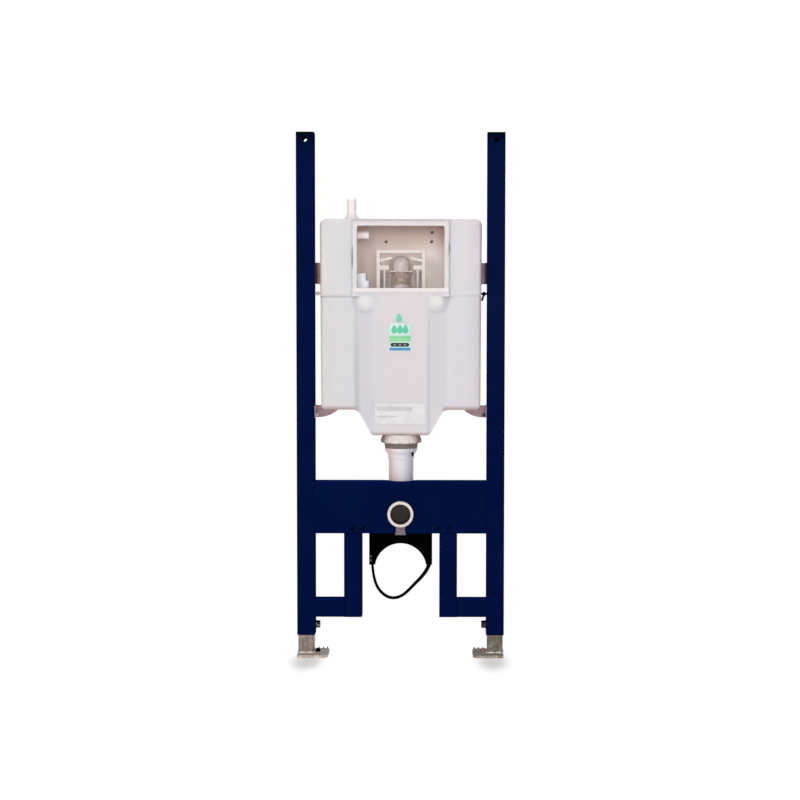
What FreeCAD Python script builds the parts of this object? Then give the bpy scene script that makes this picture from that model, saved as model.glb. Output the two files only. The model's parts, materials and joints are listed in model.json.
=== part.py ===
import FreeCAD, Part
import math
import os

# Wall hung toilet frame: steel frame on two telescopic feet, plastic cistern, flush pipe and drain bracket.
# Millimetres, +Z up, the front faces -Y. The origin is on the floor, in the middle of the overall box.
# "Depth" is measured backwards from the front plane of the steel frame.

# Frame
FRAME_WIDTH = 500.0
FRAME_HEIGHT = 1259.0
TUBE = 43.0
TUBE_WALL = 2.0
TUBE_ROUND = 3.0
UPRIGHT_FOOT = 50.0
SLIDE_FIT = 0.5
SEAT_FIT = 0.3
CAP_THICK = 4.0
CAP_PLUG = 5.0
WALL_HOLE = 11.0
WALL_HOLE_DROP = 18.0

# Feet
LEG_WALL = 2.0
LEG_LENGTH = 295.0
FOOT_WIDTH = 74.0
FOOT_TOE = 28.0
FOOT_HEEL = 56.0
FOOT_THICK = 6.5
FOOT_ROUND = 16.0
FOOT_CORNER = 4.0
FOOT_EDGE = 1.0
FOOT_RIBS = 3
FOOT_RIB_WIDTH = 8.0
FOOT_RIB_PITCH = 10.0
FOOT_RIB_HEIGHT = 8.0
FOOT_RIB_LENGTH = 12.0
ANCHOR_HOLE = 12.0
ANCHOR_OFFSET = 8.0
CLAMP_SCREW_Z = 73.0
CLAMP_SCREW = 10.0
CLAMP_HEAD = 16.0
CLAMP_HEAD_LENGTH = 9.0
CLAMP_WASHER = 20.0
CLAMP_WASHER_THICK = 2.5

# Cross panel, posts and rails
FLUSH_Z = 345.0
PANEL_ABOVE = 78.0
PANEL_BELOW = 48.0
PANEL_SHEET = 2.0
PANEL_BEND = 4.0
PIPE_NOTCH_CHORD = 84.0
PIPE_NOTCH_DEPTH = 1.0
PIPE_HOLE_FIT = 2.0
STUD_DROP = 35.0
STUD_SPACINGS = (180.0, 230.0)
STUD_HOLE = 13.0
BUSH = 17.0
BUSH_LENGTH = 10.0
RAIL_BOTTOM = 94.0

# Cistern tank
TANK_GAP = 12.5
TANK_RISE = 250.0
TANK_HEIGHT = 458.0
TANK_BACK = 128.0
TANK_WALL = 4.0
TANK_DRAFT = 2.5
BULGE_DEPTH = 6.0
UPPER_DEPTH = 14.0
LOWER_DEPTH = 20.0
STEP_DROP = 185.0
BULGE_HALF = 118.5
BULGE_DRAFT = 3.0
CREASE_HALF = 110.0
FLAT_HALF = 64.0
TOP_CORNER = 16.0
SIDE_CORNER = 10.0
BACK_CORNER = 18.0
EDGE_ROUND = 9.0
STEP_SLOPE = 6.0
TOP_FRONT_CORNER = 8.0
FUNNEL_HEIGHT = 61.0
FUNNEL_TOP_HALF = 104.0
FUNNEL_END_HALF = 69.0
FUNNEL_ROUND = 20.0
FUNNEL_BACK = 104.0
BOSS_RADIUS = 18.0
BOSS_ROUND = 6.0
BOSS_X = 86.0
BOSS_DROP = 195.0

# Access opening
WINDOW_HALF = 105.0
WINDOW_DROP = 16.0
WINDOW_HEIGHT = 149.0
WINDOW_ROUND = 4.0
COLLAR_WALL = 2.5
COLLAR_FLANGE = 10.0
COLLAR_LIP = 2.0
COLLAR_DEPTH = 28.0

# Flush pipe, elbow and outlet
PIPE_DEPTH = 52.0
PIPE = 60.0
PIPE_WALL = 3.0
PIPE_RING = 78.0
PIPE_RING_EDGE = 6.0
PIPE_RING_HEIGHT = 16.0
PIPE_SOCKET = 64.0
PIPE_SOCKET_HEIGHT = 12.0
NECK = 68.0
NECK_WALL = 4.0
NUT = 99.0
NUT_LIP = 86.0
NUT_TOP = 88.0
NUT_HEIGHT = 21.0
NUT_LIP_HEIGHT = 2.0
NUT_RIM_HEIGHT = 9.0
NUT_GRIPS = 12
NUT_GRIP_RADIUS = 6.0
SEAL = 82.0
SEAL_END = 78.0
SEAL_HEIGHT = 12.5
ELBOW_BORE = 49.0
ELBOW_WALL = 4.0
ELBOW_SOCKET_WALL = 3.5
ELBOW_SOCKET_HEIGHT = 19.0
ELBOW_SHOULDER = 4.0
OUTLET_REACH = 14.0
OUTLET_LIP = 2.0
OUTLET_RING = 62.0
ELBOW_HOLE_FIT = 1.0
SADDLE_WIDTH = 26.5
SADDLE_WAIST = 21.0
SADDLE_THICK = 6.0
SADDLE_FOOT = 2.5

# Drain bracket and strap
DRAIN_DROP = 135.0
DRAIN_RADIUS = 62.5
BRACKET_HALF = 76.0
BRACKET_END = 10.5
BRACKET_DEPTH = 8.0
BRACKET_BACK = 40.0
BRACKET_WALL = 4.0
STRAP_WIDTH = 10.0
STRAP_THICK = 6.0
STRAP_SWELL = 4.0
STRAP_STEPS = 14
STRAP_BEND_RATIOS = (
    (-1.02, -0.43), (-0.82, -0.87), (-0.30, -1.17), (0.08, -1.05), (0.47, -0.69), (0.98, -0.11),
)

# Tank holders
CLIP_SHEET = 3.0
CLIP_HEIGHT = 51.0
CLIP_DROP = 104.0
CLIP_FLANGE = 30.0
LUG_DROP = 178.0
LUG = 10.0
SUPPORT_REACH = 52.0
SUPPORT_SHEET = 3.0
SUPPORT_DEPTH = 40.0
SUPPORT_RISE = 11.0
SUPPORT_FALL = 18.0
SUPPORT_FLAT = 8.0

# Inlet and inner fittings
INLET_EDGE = 74.0
INLET_DEPTH = 60.0
INLET_THREAD = 20.9
INLET_HEIGHT = 51.0
INLET_BASE = 44.0
INLET_BASE_HEIGHT = 22.0
INLET_RIM = 3.0
INLET_FLARE_STEPS = 5
INLET_BORE = 14.0
VALVE_BODY = 26.0
VALVE_LENGTH = 56.0
KNOB = 21.0
KNOB_REACH = 41.5
KNOB_DROP = 36.0
KNOB_RIBS = 5
KNOB_GROOVE = 1.0
FILL_BODY = 22.0
FILL_LENGTH = 190.0
FILL_NUT = 30.0
FILL_NUT_HEIGHT = 12.0
FLOAT_DROP = 128.0
FLOAT_HEIGHT = 110.0
FLOAT_STEP = 19.0
FLOAT_CLEAR = 17.5
FLOAT_SETBACK = 7.5
FLOAT_HALF_DEPTH = 22.0
FLOAT_ROUND = 10.0
TOWER = 44.0
TOWER_BASE = 76.0
TOWER_BASE_HEIGHT = 28.0
TOWER_CAGE = 66.0
TOWER_CAGE_HEIGHT = 150.0
CAGE_SLOT = 30.0
CAGE_STEM = 16.0
HEAD_HEIGHT = 37.0
HEAD_PLATE_HALF = 27.0
HEAD_PLATE = 3.0
HEAD_NECK = 30.0
HEAD_NECK_HEIGHT = 30.0
TOWER_TOP_DROP = 86.0
BRIDGE_HALF = 59.0
BRIDGE_LEG = 8.5
BRIDGE_DROP = 73.0
BRIDGE_HEIGHT = 170.0
BRIDGE_FRONT = 34.0
BRIDGE_BACK = 72.0
BRIDGE_BAR = 8.0
PAD_LENGTH = 21.0
PAD_DEPTH = 8.0
PAD_DROP = 37.0
PAD_HEIGHT = 10.0
LIFT_ROD = 5.0
ARM_HEIGHT = 6.0
ARM_DEPTH = 8.0
ARM_FALL = 6.0

# Places worked out from the sizes above
FRONT = -(TANK_BACK - FOOT_TOE) / 2
INNER_X = FRAME_WIDTH / 2 - TUBE
UPRIGHT_X = FRAME_WIDTH / 2 - TUBE / 2
UPRIGHT_TOP = FRAME_HEIGHT - CAP_THICK
LEG = TUBE - 2 * TUBE_WALL - 2 * SLIDE_FIT
PANEL_TOP = FLUSH_Z + PANEL_ABOVE
PANEL_BOTTOM = FLUSH_Z - PANEL_BELOW
STUD_Z = FLUSH_Z - STUD_DROP
POST_X = max(STUD_SPACINGS) / 2
DRAIN_Z = FLUSH_Z - DRAIN_DROP
TANK_HALF = INNER_X - TANK_GAP
WING_BOTTOM = FLUSH_Z + TANK_RISE
TANK_TOP = WING_BOTTOM + TANK_HEIGHT
TANK_STEP = TANK_TOP - STEP_DROP
FUNNEL_END = WING_BOTTOM - FUNNEL_HEIGHT
INLET_X = INLET_EDGE - TANK_HALF
WINDOW_TOP = TANK_TOP - WINDOW_DROP
WINDOW_BOTTOM = WINDOW_TOP - WINDOW_HEIGHT
NUT_BOTTOM = FUNNEL_END - NUT_HEIGHT
PIPE_TOP = NUT_BOTTOM - SEAL_HEIGHT
ELBOW_TOP = FLUSH_Z + PIPE_DEPTH
ELBOW = ELBOW_BORE + 2 * ELBOW_WALL
PIPE_END = ELBOW_TOP + ELBOW_SHOULDER


def at(x, depth, z):
    return FreeCAD.Vector(x, FRONT + depth, z)


def on_plan(z):
    return lambda x, depth: at(x, depth, z)


def on_front(depth):
    return lambda x, z: at(x, depth, z)


def on_side(x):
    return lambda depth, z: at(x, depth, z)


def rounded_outline(corners, place):
    """Closed wire through (u, v, radius) corners, each rounded by its own radius."""
    stops = []
    for index, (u, v, radius) in enumerate(corners):
        before = corners[index - 1]
        after = corners[(index + 1) % len(corners)]
        back = math.atan2(before[1] - v, before[0] - u)
        ahead = math.atan2(after[1] - v, after[0] - u)
        half = math.acos(math.cos(ahead - back)) / 2
        reach = radius / math.tan(half)
        entry = (u + reach * math.cos(back), v + reach * math.sin(back))
        leave = (u + reach * math.cos(ahead), v + reach * math.sin(ahead))
        bisector = math.atan2(math.sin(back) + math.sin(ahead), math.cos(back) + math.cos(ahead))
        inset = radius / math.sin(half) - radius
        middle = (u + inset * math.cos(bisector), v + inset * math.sin(bisector))
        stops.append((entry, middle, leave, radius))
    edges = []
    for index, (entry, middle, leave, radius) in enumerate(stops):
        if radius > 0:
            edges.append(Part.Arc(place(*entry), place(*middle), place(*leave)).toShape())
        following = stops[(index + 1) % len(stops)][0]
        if math.dist(leave, following) > 1e-6:
            edges.append(Part.LineSegment(place(*leave), place(*following)).toShape())
    return Part.Wire(edges)


def prism(wire, direction):
    return Part.Face(wire).extrude(direction)


def along_x(length):
    return FreeCAD.Vector(length, 0, 0)


def along_y(length):
    return FreeCAD.Vector(0, length, 0)


def along_z(length):
    return FreeCAD.Vector(0, 0, length)


def block(x0, x1, depth0, depth1, z0, z1):
    return Part.makeBox(x1 - x0, depth1 - depth0, z1 - z0, at(x0, depth0, z0))


def rod_x(radius, x0, x1, depth, z):
    return Part.makeCylinder(radius, x1 - x0, at(x0, depth, z), along_x(1))


def rod_y(radius, x, depth0, depth1, z):
    return Part.makeCylinder(radius, depth1 - depth0, at(x, depth0, z), along_y(1))


def rod_z(radius, x, depth, z0, z1):
    return Part.makeCylinder(radius, z1 - z0, at(x, depth, z0), along_z(1))


def square(side, rounding):
    half = side / 2
    turns = ((-half, -half), (half, -half), (half, half), (-half, half))
    return [(u, v, rounding) for u, v in turns]


def shifted(corners, du, dv):
    return [(u + du, v + dv, radius) for u, v, radius in corners]


def upright_bar(x, side, rounding, z0, z1):
    outline = rounded_outline(shifted(square(side, rounding), x, TUBE / 2), on_plan(z0))
    return prism(outline, along_z(z1 - z0))


def upright_tube(x, side, wall, z0, z1):
    outer = upright_bar(x, side, TUBE_ROUND, z0, z1)
    return outer.cut(upright_bar(x, side - 2 * wall, TUBE_ROUND - wall / 2, z0, z1))


def cross_tube(x0, x1, z0):
    centre = z0 + TUBE / 2
    outer = rounded_outline(shifted(square(TUBE, TUBE_ROUND), TUBE / 2, centre), on_side(x0))
    inner_side = square(TUBE - 2 * TUBE_WALL, TUBE_ROUND - TUBE_WALL / 2)
    inner = rounded_outline(shifted(inner_side, TUBE / 2, centre), on_side(x0))
    return prism(outer, along_x(x1 - x0)).cut(prism(inner, along_x(x1 - x0)))


def turned(profile, x, depth):
    """Solid of revolution about the vertical line at x and depth, from (radius, z) points."""
    points = [at(x + radius, depth, z) for radius, z in profile]
    wire = Part.makePolygon(points + points[:1])
    return Part.Face(wire).revolve(at(x, depth, 0), along_z(1), 360)


def mirrored(shape):
    return shape.mirror(FreeCAD.Vector(0, 0, 0), along_x(1))


def upright():
    tube = upright_tube(UPRIGHT_X, TUBE, TUBE_WALL, UPRIGHT_FOOT, UPRIGHT_TOP)
    fixing = rod_y(WALL_HOLE / 2, UPRIGHT_X, -TUBE, 2 * TUBE, FRAME_HEIGHT - WALL_HOLE_DROP)
    clamp = rod_x(CLAMP_SCREW / 2 + SEAT_FIT, INNER_X - TUBE_WALL, UPRIGHT_X, TUBE / 2, CLAMP_SCREW_Z)
    return tube.cut(fixing).cut(clamp)


def top_cap():
    head = upright_bar(UPRIGHT_X, TUBE, TUBE_ROUND, UPRIGHT_TOP, FRAME_HEIGHT)
    plug = upright_tube(UPRIGHT_X, LEG, LEG_WALL, UPRIGHT_TOP - CAP_PLUG, UPRIGHT_TOP)
    return head.fuse(plug).removeSplitter()


def foot_leg():
    return upright_tube(UPRIGHT_X, LEG, LEG_WALL, FOOT_THICK, FOOT_THICK + LEG_LENGTH)


def foot_plate():
    outer_x = UPRIGHT_X + LEG / 2 + FOOT_EDGE
    inner_x = outer_x - FOOT_WIDTH
    corners = [
        (inner_x, -FOOT_TOE, FOOT_ROUND),
        (outer_x, -FOOT_TOE, FOOT_CORNER),
        (outer_x, FOOT_HEEL, FOOT_CORNER),
        (inner_x, FOOT_HEEL, FOOT_ROUND),
    ]
    plate = prism(rounded_outline(corners, on_plan(0)), along_z(FOOT_THICK))
    anchor_x = UPRIGHT_X - LEG / 2 - ANCHOR_OFFSET
    plate = plate.cut(rod_z(ANCHOR_HOLE / 2, anchor_x, TUBE / 2, -FOOT_THICK, 2 * FOOT_THICK))
    top = FOOT_THICK + FOOT_RIB_HEIGHT
    back = FOOT_HEEL - FOOT_ROUND
    for index in range(FOOT_RIBS):
        x = inner_x + FOOT_EDGE + index * FOOT_RIB_PITCH
        profile = rounded_outline([
            (x, FOOT_THICK, 0),
            (x + FOOT_RIB_WIDTH, FOOT_THICK, 0),
            (x + FOOT_RIB_WIDTH / 2, top, 0),
        ], on_front(back - FOOT_RIB_LENGTH))
        plate = plate.fuse(prism(profile, along_y(FOOT_RIB_LENGTH)))
    return plate.removeSplitter()


def hexagon(across_flats, x, depth, z):
    radius = across_flats / math.sqrt(3)
    turns = [math.radians(60 * index + 30) for index in range(6)]
    points = [at(x, depth + radius * math.cos(turn), z + radius * math.sin(turn)) for turn in turns]
    return Part.makePolygon(points + points[:1])


def clamp_screw():
    washer_end = INNER_X - CLAMP_WASHER_THICK
    washer = rod_x(CLAMP_WASHER / 2, washer_end, INNER_X, TUBE / 2, CLAMP_SCREW_Z)
    head = prism(hexagon(CLAMP_HEAD, washer_end, TUBE / 2, CLAMP_SCREW_Z), along_x(-CLAMP_HEAD_LENGTH))
    shank_end = UPRIGHT_X - LEG / 2 - SEAT_FIT
    shank = rod_x(CLAMP_SCREW / 2, INNER_X, shank_end, TUBE / 2, CLAMP_SCREW_Z)
    return washer.fuse(head).fuse(shank).removeSplitter()


def cross_panel():
    depth = TUBE
    inner_bend = PANEL_BEND - PANEL_SHEET
    channel = [
        (depth, PANEL_TOP, 0),
        (0, PANEL_TOP, PANEL_BEND),
        (0, PANEL_BOTTOM, PANEL_BEND),
        (depth, PANEL_BOTTOM, 0),
        (depth, PANEL_BOTTOM + PANEL_SHEET, 0),
        (PANEL_SHEET, PANEL_BOTTOM + PANEL_SHEET, inner_bend),
        (PANEL_SHEET, PANEL_TOP - PANEL_SHEET, inner_bend),
        (depth, PANEL_TOP - PANEL_SHEET, 0),
    ]
    panel = prism(rounded_outline(channel, on_side(-INNER_X)), along_x(2 * INNER_X))
    notch_radius = (PIPE_NOTCH_CHORD ** 2 / 4 + PIPE_NOTCH_DEPTH ** 2) / (2 * PIPE_NOTCH_DEPTH)
    notch_z = PANEL_TOP - PIPE_NOTCH_DEPTH + notch_radius
    panel = panel.cut(rod_y(notch_radius, 0, -TUBE, 2 * TUBE, notch_z))
    pipe_hole = PIPE / 2 + PIPE_HOLE_FIT
    panel = panel.cut(rod_z(pipe_hole, 0, PIPE_DEPTH, PANEL_TOP - PANEL_BEND, PANEL_TOP + PANEL_BEND))
    panel = panel.cut(rod_y(ELBOW / 2 + ELBOW_HOLE_FIT, 0, -TUBE, TUBE / 2, FLUSH_Z))
    for spacing in STUD_SPACINGS:
        for x in (-spacing / 2, spacing / 2):
            panel = panel.cut(rod_y(STUD_HOLE / 2, x, -TUBE, TUBE / 2, STUD_Z))
    return panel


def stud_bush(x):
    outer = rod_y(BUSH / 2, x, PANEL_SHEET, PANEL_SHEET + BUSH_LENGTH, STUD_Z)
    return outer.cut(rod_y(STUD_HOLE / 2, x, 0, TUBE, STUD_Z))


def tank_half_at(z):
    return TANK_HALF - TANK_DRAFT * (TANK_TOP - z) / TANK_HEIGHT


def tank_form(inset):
    """The tank's outer form, drawn in on every side by the inset."""
    roomy = 2 * TANK_HEIGHT
    wide = TANK_HALF + TANK_GAP / 2
    lower_plan = rounded_outline([
        (-TANK_HALF, LOWER_DEPTH, EDGE_ROUND),
        (-CREASE_HALF, LOWER_DEPTH, SIDE_CORNER),
        (-FLAT_HALF, BULGE_DEPTH, SIDE_CORNER),
        (FLAT_HALF, BULGE_DEPTH, SIDE_CORNER),
        (CREASE_HALF, LOWER_DEPTH, SIDE_CORNER),
        (TANK_HALF, LOWER_DEPTH, EDGE_ROUND),
        (TANK_HALF, TANK_BACK, EDGE_ROUND),
        (-TANK_HALF, TANK_BACK, EDGE_ROUND),
    ], on_plan(FUNNEL_END))
    upper_plan = rounded_outline([
        (-TANK_HALF, UPPER_DEPTH, EDGE_ROUND),
        (-BULGE_HALF, UPPER_DEPTH, BULGE_DRAFT),
        (BULGE_DRAFT - BULGE_HALF, BULGE_DEPTH, BULGE_DRAFT),
        (BULGE_HALF - BULGE_DRAFT, BULGE_DEPTH, BULGE_DRAFT),
        (BULGE_HALF, UPPER_DEPTH, BULGE_DRAFT),
        (TANK_HALF, UPPER_DEPTH, EDGE_ROUND),
        (TANK_HALF, TANK_BACK, EDGE_ROUND),
        (-TANK_HALF, TANK_BACK, EDGE_ROUND),
    ], on_plan(TANK_STEP + inset))
    low_half = TANK_HALF - TANK_DRAFT
    outline = rounded_outline([
        (-TANK_HALF, TANK_TOP, TOP_CORNER),
        (TANK_HALF, TANK_TOP, TOP_CORNER),
        (low_half, WING_BOTTOM, SIDE_CORNER),
        (FUNNEL_TOP_HALF, WING_BOTTOM, FUNNEL_ROUND),
        (FUNNEL_END_HALF, FUNNEL_END, SIDE_CORNER),
        (-FUNNEL_END_HALF, FUNNEL_END, SIDE_CORNER),
        (-FUNNEL_TOP_HALF, WING_BOTTOM, FUNNEL_ROUND),
        (-low_half, WING_BOTTOM, SIDE_CORNER),
    ], on_front(0))
    section = rounded_outline([
        (BULGE_DEPTH, TANK_TOP, TOP_FRONT_CORNER),
        (BULGE_DEPTH, FUNNEL_END, TOP_FRONT_CORNER),
        (FUNNEL_BACK, FUNNEL_END, SIDE_CORNER),
        (TANK_BACK, WING_BOTTOM, FUNNEL_ROUND),
        (TANK_BACK, TANK_TOP, BACK_CORNER),
    ], on_side(-wide))
    if inset > 0:
        lower_plan = lower_plan.makeOffset2D(-inset)
        upper_plan = upper_plan.makeOffset2D(-inset)
        outline = outline.makeOffset2D(-inset)
        section = section.makeOffset2D(-inset)
    lower = prism(lower_plan, along_z(TANK_STEP + inset - FUNNEL_END))
    upper = prism(upper_plan, along_z(STEP_DROP))
    slope = STEP_SLOPE - (2 - math.sqrt(2)) * inset
    front = UPPER_DEPTH + inset
    low = TANK_STEP + inset
    corner = rounded_outline([
        (front, low, 0),
        (front + slope, low, 0),
        (front, low + slope, 0),
    ], on_side(BULGE_HALF + BULGE_DRAFT))
    wedge = prism(corner, along_x(wide))
    upper = upper.cut(wedge).cut(mirrored(wedge))
    form = lower.fuse(upper)
    form = form.common(prism(outline, along_y(roomy)))
    return form.common(prism(section, along_x(2 * wide)))


def cistern_tank():
    outer = tank_form(0)
    for x in (-BOSS_X, BOSS_X):
        boss = rod_y(BOSS_RADIUS, x, BULGE_DEPTH, LOWER_DEPTH, TANK_TOP - BOSS_DROP)
        rim = [edge for edge in boss.Edges if edge.BoundBox.YMax < FRONT + LOWER_DEPTH]
        outer = outer.fuse(boss.makeFillet(BOSS_ROUND, rim))
    neck = rod_z(NECK / 2, 0, PIPE_DEPTH, PIPE_TOP, FUNNEL_END + TANK_WALL)
    outer = outer.fuse(neck)
    tank = outer.cut(tank_form(TANK_WALL))
    tank = tank.cut(rod_z(NECK / 2 - NECK_WALL, 0, PIPE_DEPTH, 0, FUNNEL_END + 2 * TANK_WALL))
    margin = COLLAR_WALL + SEAT_FIT
    hole = block(-WINDOW_HALF - margin, WINDOW_HALF + margin, -TUBE, UPPER_DEPTH + 2 * TANK_WALL,
                 WINDOW_BOTTOM - margin, WINDOW_TOP + margin)
    tank = tank.cut(hole)
    tank = tank.cut(rod_z(INLET_BORE / 2, INLET_X, INLET_DEPTH, TANK_TOP - 2 * TANK_WALL, FRAME_HEIGHT))
    return tank.removeSplitter()


def window_prism(margin, depth0, depth1):
    half = WINDOW_HALF + margin
    corners = [
        (-half, WINDOW_BOTTOM - margin, WINDOW_ROUND),
        (half, WINDOW_BOTTOM - margin, WINDOW_ROUND),
        (half, WINDOW_TOP + margin, WINDOW_ROUND),
        (-half, WINDOW_TOP + margin, WINDOW_ROUND),
    ]
    return prism(rounded_outline(corners, on_front(depth0)), along_y(depth1 - depth0))


def access_collar():
    flange = window_prism(COLLAR_FLANGE, BULGE_DEPTH - COLLAR_LIP, BULGE_DEPTH)
    throat = window_prism(COLLAR_WALL, BULGE_DEPTH, COLLAR_DEPTH)
    opening = window_prism(0, -TUBE, 2 * TUBE)
    return flange.fuse(throat).cut(opening).removeSplitter()


def outlet_nut():
    lip_top = NUT_BOTTOM + NUT_LIP_HEIGHT
    bore = NECK / 2 + SEAT_FIT
    nut = turned([
        (bore, NUT_BOTTOM),
        (NUT_LIP / 2, NUT_BOTTOM),
        (NUT / 2, lip_top),
        (NUT / 2, NUT_BOTTOM + NUT_RIM_HEIGHT),
        (NUT_TOP / 2, FUNNEL_END),
        (bore, FUNNEL_END),
    ], 0, PIPE_DEPTH)
    for index in range(NUT_GRIPS):
        turn = 2 * math.pi * index / NUT_GRIPS
        away = NUT / 2 + NUT_GRIP_RADIUS / 2
        x = away * math.sin(turn)
        depth = PIPE_DEPTH + away * math.cos(turn)
        nut = nut.cut(rod_z(NUT_GRIP_RADIUS, x, depth, lip_top, FUNNEL_END))
    return nut


def outlet_seal():
    bore = NECK / 2 + SEAT_FIT
    return turned([
        (bore, PIPE_TOP),
        (SEAL_END / 2, PIPE_TOP),
        (SEAL / 2, NUT_BOTTOM),
        (bore, NUT_BOTTOM),
    ], 0, PIPE_DEPTH)


def flush_pipe():
    ring_bottom = PIPE_TOP - PIPE_RING_HEIGHT
    socket_bottom = ring_bottom - PIPE_SOCKET_HEIGHT
    bore = PIPE / 2 - PIPE_WALL
    return turned([
        (bore, PIPE_TOP),
        (PIPE_RING / 2, PIPE_TOP),
        (PIPE_RING / 2, PIPE_TOP - PIPE_RING_EDGE),
        (PIPE_SOCKET / 2, ring_bottom),
        (PIPE / 2, socket_bottom),
        (PIPE / 2, PIPE_END),
        (bore, PIPE_END),
    ], 0, PIPE_DEPTH)


def flush_elbow():
    socket_bore = PIPE / 2 + SEAT_FIT
    socket = turned([
        (ELBOW_BORE / 2, ELBOW_TOP),
        (ELBOW / 2, ELBOW_TOP),
        (socket_bore + ELBOW_SOCKET_WALL, PIPE_END),
        (socket_bore + ELBOW_SOCKET_WALL, ELBOW_TOP + ELBOW_SOCKET_HEIGHT),
        (socket_bore, ELBOW_TOP + ELBOW_SOCKET_HEIGHT),
        (socket_bore, PIPE_END),
        (ELBOW_BORE / 2, PIPE_END),
    ], 0, PIPE_DEPTH)
    centre = at(0, PIPE_DEPTH, ELBOW_TOP)
    rim = Part.Wire(Part.makeCircle(ELBOW / 2, centre, along_z(1)))
    hollow = Part.Wire(Part.makeCircle(ELBOW_BORE / 2, centre, along_z(1)))
    hinge = at(0, 0, ELBOW_TOP)
    bend = Part.Face(rim).revolve(hinge, along_x(1), -90)
    bore = Part.Face(hollow).revolve(hinge, along_x(1), -90)
    end = OUTLET_LIP - OUTLET_REACH
    straight = rod_y(ELBOW / 2, 0, end, 0, FLUSH_Z)
    straight_bore = rod_y(ELBOW_BORE / 2, 0, end, 0, FLUSH_Z)
    return socket.fuse(bend.cut(bore)).fuse(straight.cut(straight_bore)).removeSplitter()


def outlet_ring():
    end = OUTLET_LIP - OUTLET_REACH
    ring = rod_y(OUTLET_RING / 2, 0, -OUTLET_REACH, 0, FLUSH_Z)
    ring = ring.cut(rod_y(ELBOW_BORE / 2, 0, -OUTLET_REACH, 0, FLUSH_Z))
    return ring.cut(rod_y(ELBOW / 2 + SEAT_FIT, 0, end, 0, FLUSH_Z))


def outlet_saddle():
    top = FLUSH_Z - OUTLET_RING / 4
    middle = (FLUSH_Z - OUTLET_RING / 2 + PANEL_BOTTOM) / 2
    foot = PANEL_BOTTOM - SADDLE_FOOT
    wide = SADDLE_WIDTH / 2
    waist = SADDLE_WAIST / 2
    corners = [
        (-wide, top, 0),
        (-waist, middle, SADDLE_WAIST),
        (-wide, foot, 0),
        (wide, foot, 0),
        (waist, middle, SADDLE_WAIST),
        (wide, top, 0),
    ]
    plate = prism(rounded_outline(corners, on_front(-SADDLE_THICK)), along_y(SADDLE_THICK))
    plate = plate.cut(rod_y(OUTLET_RING / 2 + SEAT_FIT, 0, -2 * SADDLE_THICK, TUBE, FLUSH_Z))
    hook = block(-wide, wide, 0, BRACKET_DEPTH, foot, PANEL_BOTTOM)
    return plate.fuse(hook).removeSplitter()


def drain_bracket():
    bottom = DRAIN_Z + BRACKET_END
    body = block(-BRACKET_HALF, BRACKET_HALF, BRACKET_DEPTH, BRACKET_BACK, bottom, PANEL_BOTTOM)
    body = body.cut(rod_y(DRAIN_RADIUS, 0, 0, 2 * TUBE, DRAIN_Z))
    inner_half = BRACKET_HALF - BRACKET_WALL
    pocket = block(-inner_half, inner_half, BRACKET_DEPTH + BRACKET_WALL, 2 * BRACKET_BACK,
                   bottom + BRACKET_WALL, PANEL_BOTTOM - BRACKET_WALL)
    pocket = pocket.cut(rod_y(DRAIN_RADIUS + BRACKET_WALL, 0, 0, 3 * BRACKET_BACK, DRAIN_Z))
    for x in (-BRACKET_HALF / 2, 0, BRACKET_HALF / 2):
        rib_half = BRACKET_WALL / 2
        pocket = pocket.cut(block(x - rib_half, x + rib_half, 0, 3 * BRACKET_BACK, bottom, PANEL_BOTTOM))
    return body.cut(pocket).removeSplitter()


def waste_strap():
    """Loose band that hangs from both legs of the bracket, slack on the left and pulled in on the right."""
    end_z = DRAIN_Z + BRACKET_END
    end_x = (DRAIN_RADIUS + BRACKET_HALF) / 2
    points = [at(-end_x, 0, end_z + STRAP_THICK)]
    points += [at(u * DRAIN_RADIUS, 0, DRAIN_Z + v * DRAIN_RADIUS) for u, v in STRAP_BEND_RATIOS]
    points.append(at(end_x + STRAP_THICK / 4, 0, end_z + STRAP_THICK))
    line = Part.BSplineCurve()
    line.interpolate(points)
    first = line.FirstParameter
    span = line.LastParameter - first
    sides = []
    for side in (-1, 1):
        run = []
        for index in range(STRAP_STEPS + 1):
            along = index / STRAP_STEPS
            parameter = first + span * along
            heading = line.tangent(parameter)[0]
            normal = FreeCAD.Vector(-heading.z, 0, heading.x)
            thick = STRAP_THICK + STRAP_SWELL * along ** 4
            run.append(line.value(parameter) + normal * side * thick / 2)
        edge = Part.BSplineCurve()
        edge.interpolate(run)
        sides.append(edge)
    low, high = sides
    caps = [
        Part.LineSegment(low.value(low.FirstParameter), high.value(high.FirstParameter)),
        Part.LineSegment(low.value(low.LastParameter), high.value(high.LastParameter)),
    ]
    wire = Part.Wire(Part.__sortEdges__([item.toShape() for item in (low, caps[1], high, caps[0])]))
    band = prism(wire, along_y(STRAP_WIDTH))
    band.translate(along_y((BRACKET_DEPTH + BRACKET_BACK - STRAP_WIDTH) / 2))
    return band.cut(block(-FRAME_WIDTH, FRAME_WIDTH, 0, TANK_BACK, end_z, FLUSH_Z))


def side_clip():
    top = TANK_TOP - CLIP_DROP
    tank_x = tank_half_at(top) + SEAT_FIT
    plate_x = INNER_X - CLIP_SHEET
    web = CLIP_FLANGE + CLIP_SHEET
    corners = [
        (INNER_X, CLIP_SHEET, 0),
        (INNER_X, web, 0),
        (tank_x + CLIP_SHEET, web, 0),
        (tank_x + CLIP_SHEET, web + CLIP_FLANGE, 0),
        (tank_x, web + CLIP_FLANGE, 0),
        (tank_x, web - CLIP_SHEET, 0),
        (plate_x, web - CLIP_SHEET, 0),
        (plate_x, CLIP_SHEET, 0),
    ]
    return prism(rounded_outline(corners, on_plan(top - CLIP_HEIGHT)), along_z(CLIP_HEIGHT))


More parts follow.
